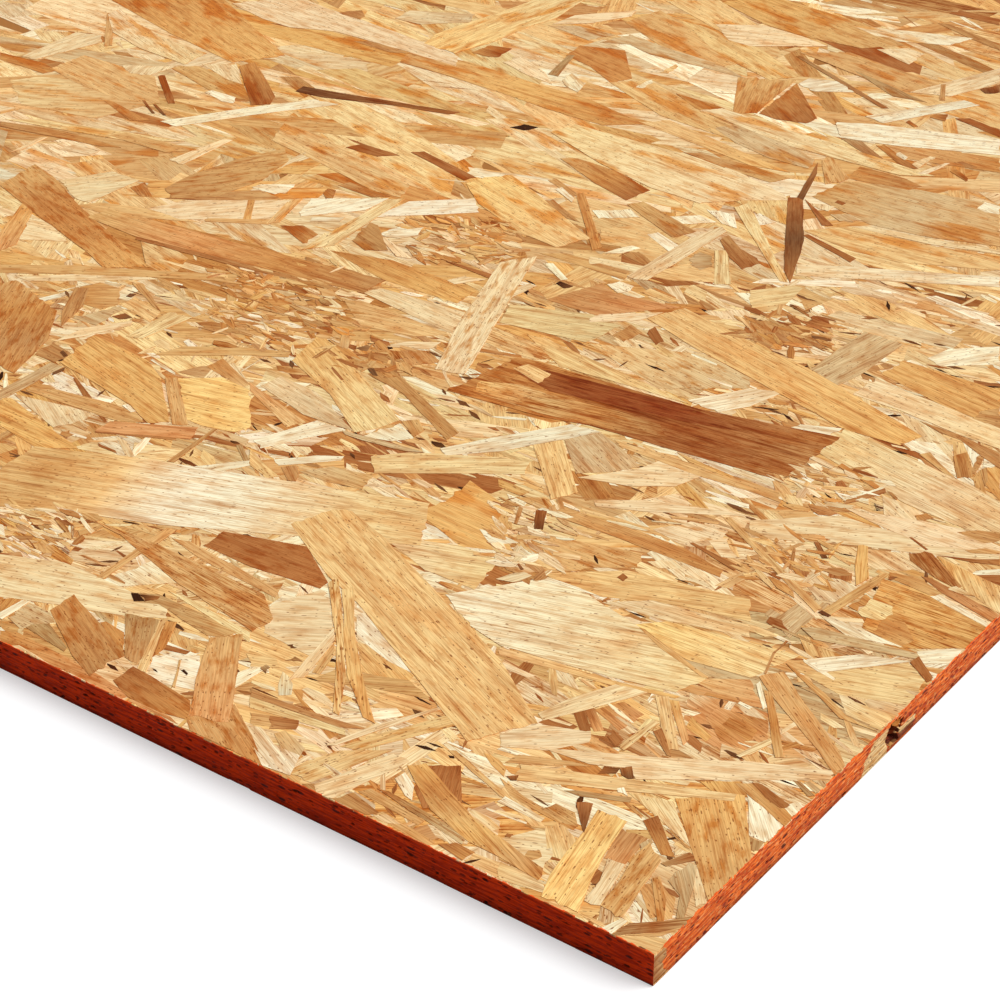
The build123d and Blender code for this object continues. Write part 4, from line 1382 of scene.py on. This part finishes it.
def sealed(tree, rim, bare, reaches):
    """The bare colour, with red edge sealer over it as far as that reaches and where it hasn't worn off."""
    least, most = reaches
    reach = add(tree, "ShaderNodeMapRange",
                {0: rim.noise["nick"], 1: 0.42, 2: 0.75, 3: least * MM, 4: most * MM})
    near = add(tree, "ShaderNodeMath", {0: rim.depth, 1: reach.outputs[0]}, operation="LESS_THAN")
    cover = add(tree, "ShaderNodeMath", {0: near.outputs[0], 1: sealer_lost(tree, rim)}, operation="SUBTRACT",
                use_clamp=True)
    return add(tree, "ShaderNodeMix", {0: cover.outputs[0], 6: bare, 7: sealer_colour(tree, rim, bare)},
               data_type="RGBA").outputs[2]


def pressed_strand_wood():
    """Softwood and poplar strands, sliced, waxed and hot-pressed: matt and pale, with fine darker grain along
    each strand, short dark specks where resin gathered, amber stains, and a faint satin on the high spots."""
    material, tree = new_material("pressed_strand_wood")
    grain = add(tree, "ShaderNodeAttribute", attribute_name="grain").outputs["Vector"]
    tone = add(tree, "ShaderNodeAttribute", attribute_name="wood").outputs["Color"]
    shown = add(tree, "ShaderNodeAttribute", attribute_name="figure").outputs["Vector"]
    figure = add(tree, "ShaderNodeSeparateXYZ", {0: shown}).outputs
    # Length along the grain, width across it, detail; real fibres are finer, but wouldn't show
    patterns = {"lines": (22.0, 0.6, 4.0), "bands": (70.0, 4.0, 3.0), "stains": (38.0, 12.0, 3.0),
                "fibres": (13.0, 0.36, 3.0), "clouds": (10.0, 3.2, 4.0)}
    noise = stretched_noise(tree, grain, patterns, 0.6)
    rings = add(tree, "ShaderNodeMath", {0: noise["bands"], 1: 9.0}, operation="MULTIPLY")
    rings = add(tree, "ShaderNodeMath", {0: rings.outputs[0], 1: 0.5}, operation="PINGPONG")
    noise["rings"] = rings.outputs[0]
    # Each darker figure: the range of its noise, how strongly it shows at both ends of that, the part of the
    # strand's figure that it follows, and its tint
    darker = {
        "lines": ((0.48, 0.70), (0.0, 1.0), figure[0], "#c99b5e"),
        "bands": ((0.52, 0.75), (0.0, 1.0), figure[0], "#c99866"),
        "rings": ((0.02, 0.20), (0.6, 0.0), figure[0], "#c4935c"),
        "clouds": ((0.47, 0.70), (0.0, 1.0), figure[1], "#dba868"),
        "stains": ((0.52, 0.66), (0.0, 1.0), figure[2], "#ecb976"),
    }
    colour = tone
    for name, ((start, end), (first, last), follows, tint) in darker.items():
        shown = add(tree, "ShaderNodeMapRange", {0: noise[name], 1: start, 2: end, 3: first, 4: last})
        amount = add(tree, "ShaderNodeMath", {0: shown.outputs[0], 1: follows}, operation="MULTIPLY")
        colour = add(tree, "ShaderNodeMix", {0: amount.outputs[0], 6: colour, 7: linear(tint)},
                     data_type="RGBA", blend_type="MULTIPLY").outputs[2]
    shade = add(tree, "ShaderNodeMapRange", {0: noise["fibres"], 1: 0.3, 2: 0.7, 3: 0.86, 4: 1.12})
    colour = add(tree, "ShaderNodeHueSaturation", {"Value": shade.outputs[0], "Color": colour}).outputs[0]
    # Specks along the grain: cell length, cell width, the largest speck as a share of its cell
    gathered = add(tree, "ShaderNodeMapRange", {0: noise["stains"], 1: 0.35, 2: 0.65, 3: -0.1, 4: -0.75})
    scarce = add(tree, "ShaderNodeMath", {0: figure[1], 1: gathered.outputs[0], 2: 1.0},
                 operation="MULTIPLY_ADD").outputs[0]
    for along, across, largest in ((4.4, 0.9, 0.26), (2.4, 1.2, 0.22), (8.0, 3.0, 0.12)):
        specks = scattered_marks(tree, grain, along, across, scarce, largest, largest / 3, 0.85)
        colour = add(tree, "ShaderNodeMix", {0: specks, 6: colour, 7: linear("#8a4a1c")},
                     data_type="RGBA").outputs[2]
    # Painted shade: the thin sides of a strand are darkened, for the shadow lines along strand edges
    side = add(tree, "ShaderNodeMath", {0: flatness(tree), 1: 0.5}, operation="LESS_THAN")
    rim = rim_place(tree)
    off_rim = add(tree, "ShaderNodeMath", {0: rim.depth, 1: 0.3 * MM}, operation="GREATER_THAN")
    side = add(tree, "ShaderNodeMath", {0: side.outputs[0], 1: off_rim.outputs[0]}, operation="MULTIPLY")
    colour = add(tree, "ShaderNodeMix", {0: side.outputs[0], 6: colour, 7: linear("#e2b88a")},
                 data_type="RGBA", blend_type="MULTIPLY").outputs[2]
    finish = sealed(tree, rim, colour, FACE_SEALER_REACH)
    gloss = add(tree, "ShaderNodeMapRange", {0: noise["bands"], 1: 0.3, 2: 0.7, 3: 0.5, 4: 0.7})
    ridges = add(tree, "ShaderNodeBump", {"Height": noise["lines"], "Strength": 0.35, "Distance": 0.12 * MM})
    shader = add(tree, "ShaderNodeBsdfPrincipled",
                 {"Base Color": finish, "Roughness": gloss.outputs[0], "Normal": ridges.outputs[0],
                  "Specular IOR Level": 0.07})
    add(tree, "ShaderNodeOutputMaterial", {0: shader.outputs[0]})
    return material


def sealed_sawn_edge():
    """Sawn strand ends under red sealer: dull and streaky in flat layers, with painted shade that makes the
    pits nearly black and the torn void dark, and pale end grain with brown dashes where the sealer is gone or
    never reached."""
    material, tree = new_material("sealed_sawn_edge")
    rim = rim_place(tree)
    grained = add(tree, "ShaderNodeMapRange", {0: rim.noise["streak"], 1: 0.36, 2: 0.64})
    bare = add(tree, "ShaderNodeMix", {0: grained.outputs[0], 6: linear("#c08a4e"), 7: linear("#f0cd94")},
               data_type="RGBA").outputs[2]
    dashed = add(tree, "ShaderNodeMapRange", {0: rim.noise["mottle"], 1: 0.42, 2: 0.3, 4: 0.9})
    bare = add(tree, "ShaderNodeMix", {0: dashed.outputs[0], 6: bare, 7: linear("#7a4720")},
               data_type="RGBA").outputs[2]
    # The bare wood is browner and darker towards the near corner
    starts, ends = ((near_corner[1] + run) * MM for run in (0, DARKER_CORNER_RUN))
    along_end = add(tree, "ShaderNodeMapRange", {0: rim.axes[1], 1: starts, 2: ends, 3: 0.9, 4: 0.0})
    bare = add(tree, "ShaderNodeMix", {0: along_end.outputs[0], 6: bare, 7: linear("#ac7852")},
               data_type="RGBA", blend_type="MULTIPLY").outputs[2]
    finish = sealed(tree, rim, bare, EDGE_SEALER_REACH)
    # Painted shade: pits darken with depth, and the torn void is dark brown over redder broken strands
    on_side = add(tree, "ShaderNodeMath", {0: flatness(tree), 1: 0.9}, operation="LESS_THAN")
    starts, darkest = (depth * MM for depth in PIT_SHADE_DEPTHS)
    pit = add(tree, "ShaderNodeMapRange", {0: rim.depth, 1: starts, 2: darkest, 4: 0.95})
    pit = add(tree, "ShaderNodeMath", {0: pit.outputs[0], 1: on_side.outputs[0]}, operation="MULTIPLY")
    colour = add(tree, "ShaderNodeMix", {0: pit.outputs[0], 6: finish, 7: linear("#5a1c0a")},
                 data_type="RGBA").outputs[2]
    broken = add(tree, "ShaderNodeMix", {0: grained.outputs[0], 6: linear("#431407"), 7: linear("#9a4218")},
                 data_type="RGBA")
    starts, darkest = (depth * MM for depth in VOID_SHADE_DEPTHS)
    inner = add(tree, "ShaderNodeMapRange", {0: rim.depth, 1: starts, 2: darkest})
    colour = add(tree, "ShaderNodeMix", {0: inner.outputs[0], 6: colour, 7: broken.outputs[2]},
                 data_type="RGBA").outputs[2]
    # Painted shade: the core under the strands, seen in gaps between them, gets the brown of wood in shade
    under_strands = add(tree, "ShaderNodeMath", {0: rim.depth, 1: HIDDEN_DEPTH * MM},
                        operation="GREATER_THAN")
    colour = add(tree, "ShaderNodeMix", {0: under_strands.outputs[0], 6: colour, 7: linear("#a8703a")},
                 data_type="RGBA").outputs[2]
    # Painted shade: past the void, low down, the sawn face is darkened where it lies in shadow
    middle, reach = SHADED_LOW_PATCH_RUN
    past_void = add(tree, "ShaderNodeMath",
                    {0: rim.axes[1], 1: (near_corner[1] + middle) * MM, 2: reach * MM}, operation="COMPARE")
    starts, darkest = (height * MM for height in SHADED_LOW_PATCH_HEIGHTS)
    low_down = add(tree, "ShaderNodeMapRange", {0: rim.axes[2], 1: starts, 2: darkest, 4: 0.75})
    painted_low_shade = add(tree, "ShaderNodeMath", {0: past_void.outputs[0], 1: low_down.outputs[0]},
                      operation="MULTIPLY")
    on_right = add(tree, "ShaderNodeMath", {0: rim.axes[0], 1: 0.0}, operation="GREATER_THAN")
    painted_low_shade = add(tree, "ShaderNodeMath", {0: painted_low_shade.outputs[0], 1: on_right.outputs[0]},
                      operation="MULTIPLY")
    colour = add(tree, "ShaderNodeMix", {0: painted_low_shade.outputs[0], 6: colour, 7: linear("#481608")},
                 data_type="RGBA").outputs[2]
    grit = add(tree, "ShaderNodeBump", {"Height": rim.noise["mottle"], "Strength": 0.5, "Distance": 0.2 * MM})
    gloss = add(tree, "ShaderNodeMapRange", {0: rim.noise["mottle"], 1: 0.3, 2: 0.7, 3: 0.5, 4: 0.75})
    shader = add(tree, "ShaderNodeBsdfPrincipled",
                 {"Base Color": colour, "Roughness": gloss.outputs[0], "Normal": grit.outputs[0],
                  "Specular IOR Level": 0.08})
    add(tree, "ShaderNodeOutputMaterial", {0: shader.outputs[0]})
    return material


# The studio

def studio_floor():
    """White paper: white to the eye with the panel's shadow on it, and duller in the light it gives back."""
    material, tree = new_material("white_paper_floor")
    path = add(tree, "ShaderNodeLightPath").outputs
    mirrored = add(tree, "ShaderNodeMath", {0: path["Is Glossy Ray"], 1: path["Is Transmission Ray"]},
                   operation="MAXIMUM")
    looked_at = add(tree, "ShaderNodeMath", {0: path["Is Camera Ray"], 1: mirrored.outputs[0]},
                    operation="MAXIMUM")
    colour = add(tree, "ShaderNodeMix", {0: looked_at.outputs[0], 6: linear("#989898"), 7: linear("#cbcbcb")},
                 data_type="RGBA")
    paper = add(tree, "ShaderNodeBsdfDiffuse", {"Color": colour.outputs[2]})
    lift = add(tree, "ShaderNodeMath", {0: looked_at.outputs[0], 1: 0.5}, operation="MULTIPLY")
    glow = add(tree, "ShaderNodeEmission", {"Strength": lift.outputs[0]})
    both = add(tree, "ShaderNodeAddShader", {0: paper.outputs[0], 1: glow.outputs[0]})
    add(tree, "ShaderNodeOutputMaterial", {0: both.outputs[0]})
    level = (low[2] - FLOOR_GAP) * MM
    corners = [(x * FLOOR_REACH, y * FLOOR_REACH, level) for x, y in ((-1, -1), (1, -1), (1, 1), (-1, 1))]
    mesh = bpy.data.meshes.new("studio_floor")
    mesh.from_pydata(corners, [], [(0, 1, 2, 3)])
    mesh.materials.append(material)
    floor = placed("studio_floor", mesh)


def studio_light():
    """A broad key from behind on the right, and an even white surround."""
    key = bpy.data.lights.new("key", "SUN")
    key.energy = KEY_STRENGTH
    key.angle = math.radians(KEY_SPREAD)
    lamp = placed("key", key)
    lamp.rotation_euler = Vector(KEY_FROM).to_track_quat("Z", "Y").to_euler()
    world = bpy.data.worlds.new("surround")
    world.use_nodes = True
    tree = world.node_tree
    tree.nodes.clear()
    path = add(tree, "ShaderNodeLightPath").outputs
    strength = add(tree, "ShaderNodeMapRange", {0: path["Is Camera Ray"], 3: SURROUND_STRENGTH, 4: 1.0})
    sky = add(tree, "ShaderNodeBackground", {"Strength": strength.outputs[0]})
    add(tree, "ShaderNodeOutputWorld", {0: sky.outputs[0]})
    bpy.context.scene.world = world


# Putting the panel together

rng = np.random.default_rng(20)
strand_wood = pressed_strand_wood()
sawn_edge = sealed_sawn_edge()

# Layers: how often they cover the face, strand length and width, depths, and for some tones, ends and box
top_layers = [
    (3.2, 120, 25, (0.28, FACE_RELIEF)),
    (1.6, 115, 20, (0.14, 0.28)),
    (0.6, 95, 12, (0.01, 0.14)),
    (2.0, 110, 20, (0.28, FACE_RELIEF), TONE_SHARES, BLUNT_ENDS, WHOLE_VIEW),
    (0.8, 34, 7.0, (0.20, 0.27), CHIP_SHARES, BLUNT_ENDS, NEAR_VIEW),
    (0.25, 11, 2.6, (0.17, 0.22), CHIP_SHARES, (0.3, 0.9), NEAR_VIEW),
    # tiny dark slivers: partly darker wood, and partly painted shade in crevices between chips
    (0.04, 6, 1.3, (0.16, 0.21), CREVICE_SHARES, (0.1, 0.4), NEAR_VIEW),
]
top_layers += [(1.3, 8, 2.6, (0.05, 0.13), shares, (0.2, 0.9), zone) for zone, shares in CRUMB_ZONES]
back_layers = [
    (2.6, 110, 22, (0.15, BACK_RELIEF)),
    (1.2, 90, 13, (0.0, 0.15)),
]
top_strands = [strand for layer in top_layers for strand in laid_strands(rng, *layer)]
top_strands = cut_to_panel(top_strands + seen_strands(rng), rng)
back_strands = [strand for layer in back_layers for strand in laid_strands(rng, *layer)]
back_strands = cut_to_panel(back_strands, rng)

pieces = [core_piece(sawn_edge, rng), stub_piece(strand_wood, rng), splinter_piece(strand_wood)]
pieces += tiled_pieces("top_strands", top_strands, 1, strand_wood, rng)
pieces += tiled_pieces("back_strands", back_strands, -1, strand_wood, rng)
for piece in pieces:
    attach(piece, "root")
    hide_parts("osb_panel")

studio_floor()
studio_light()
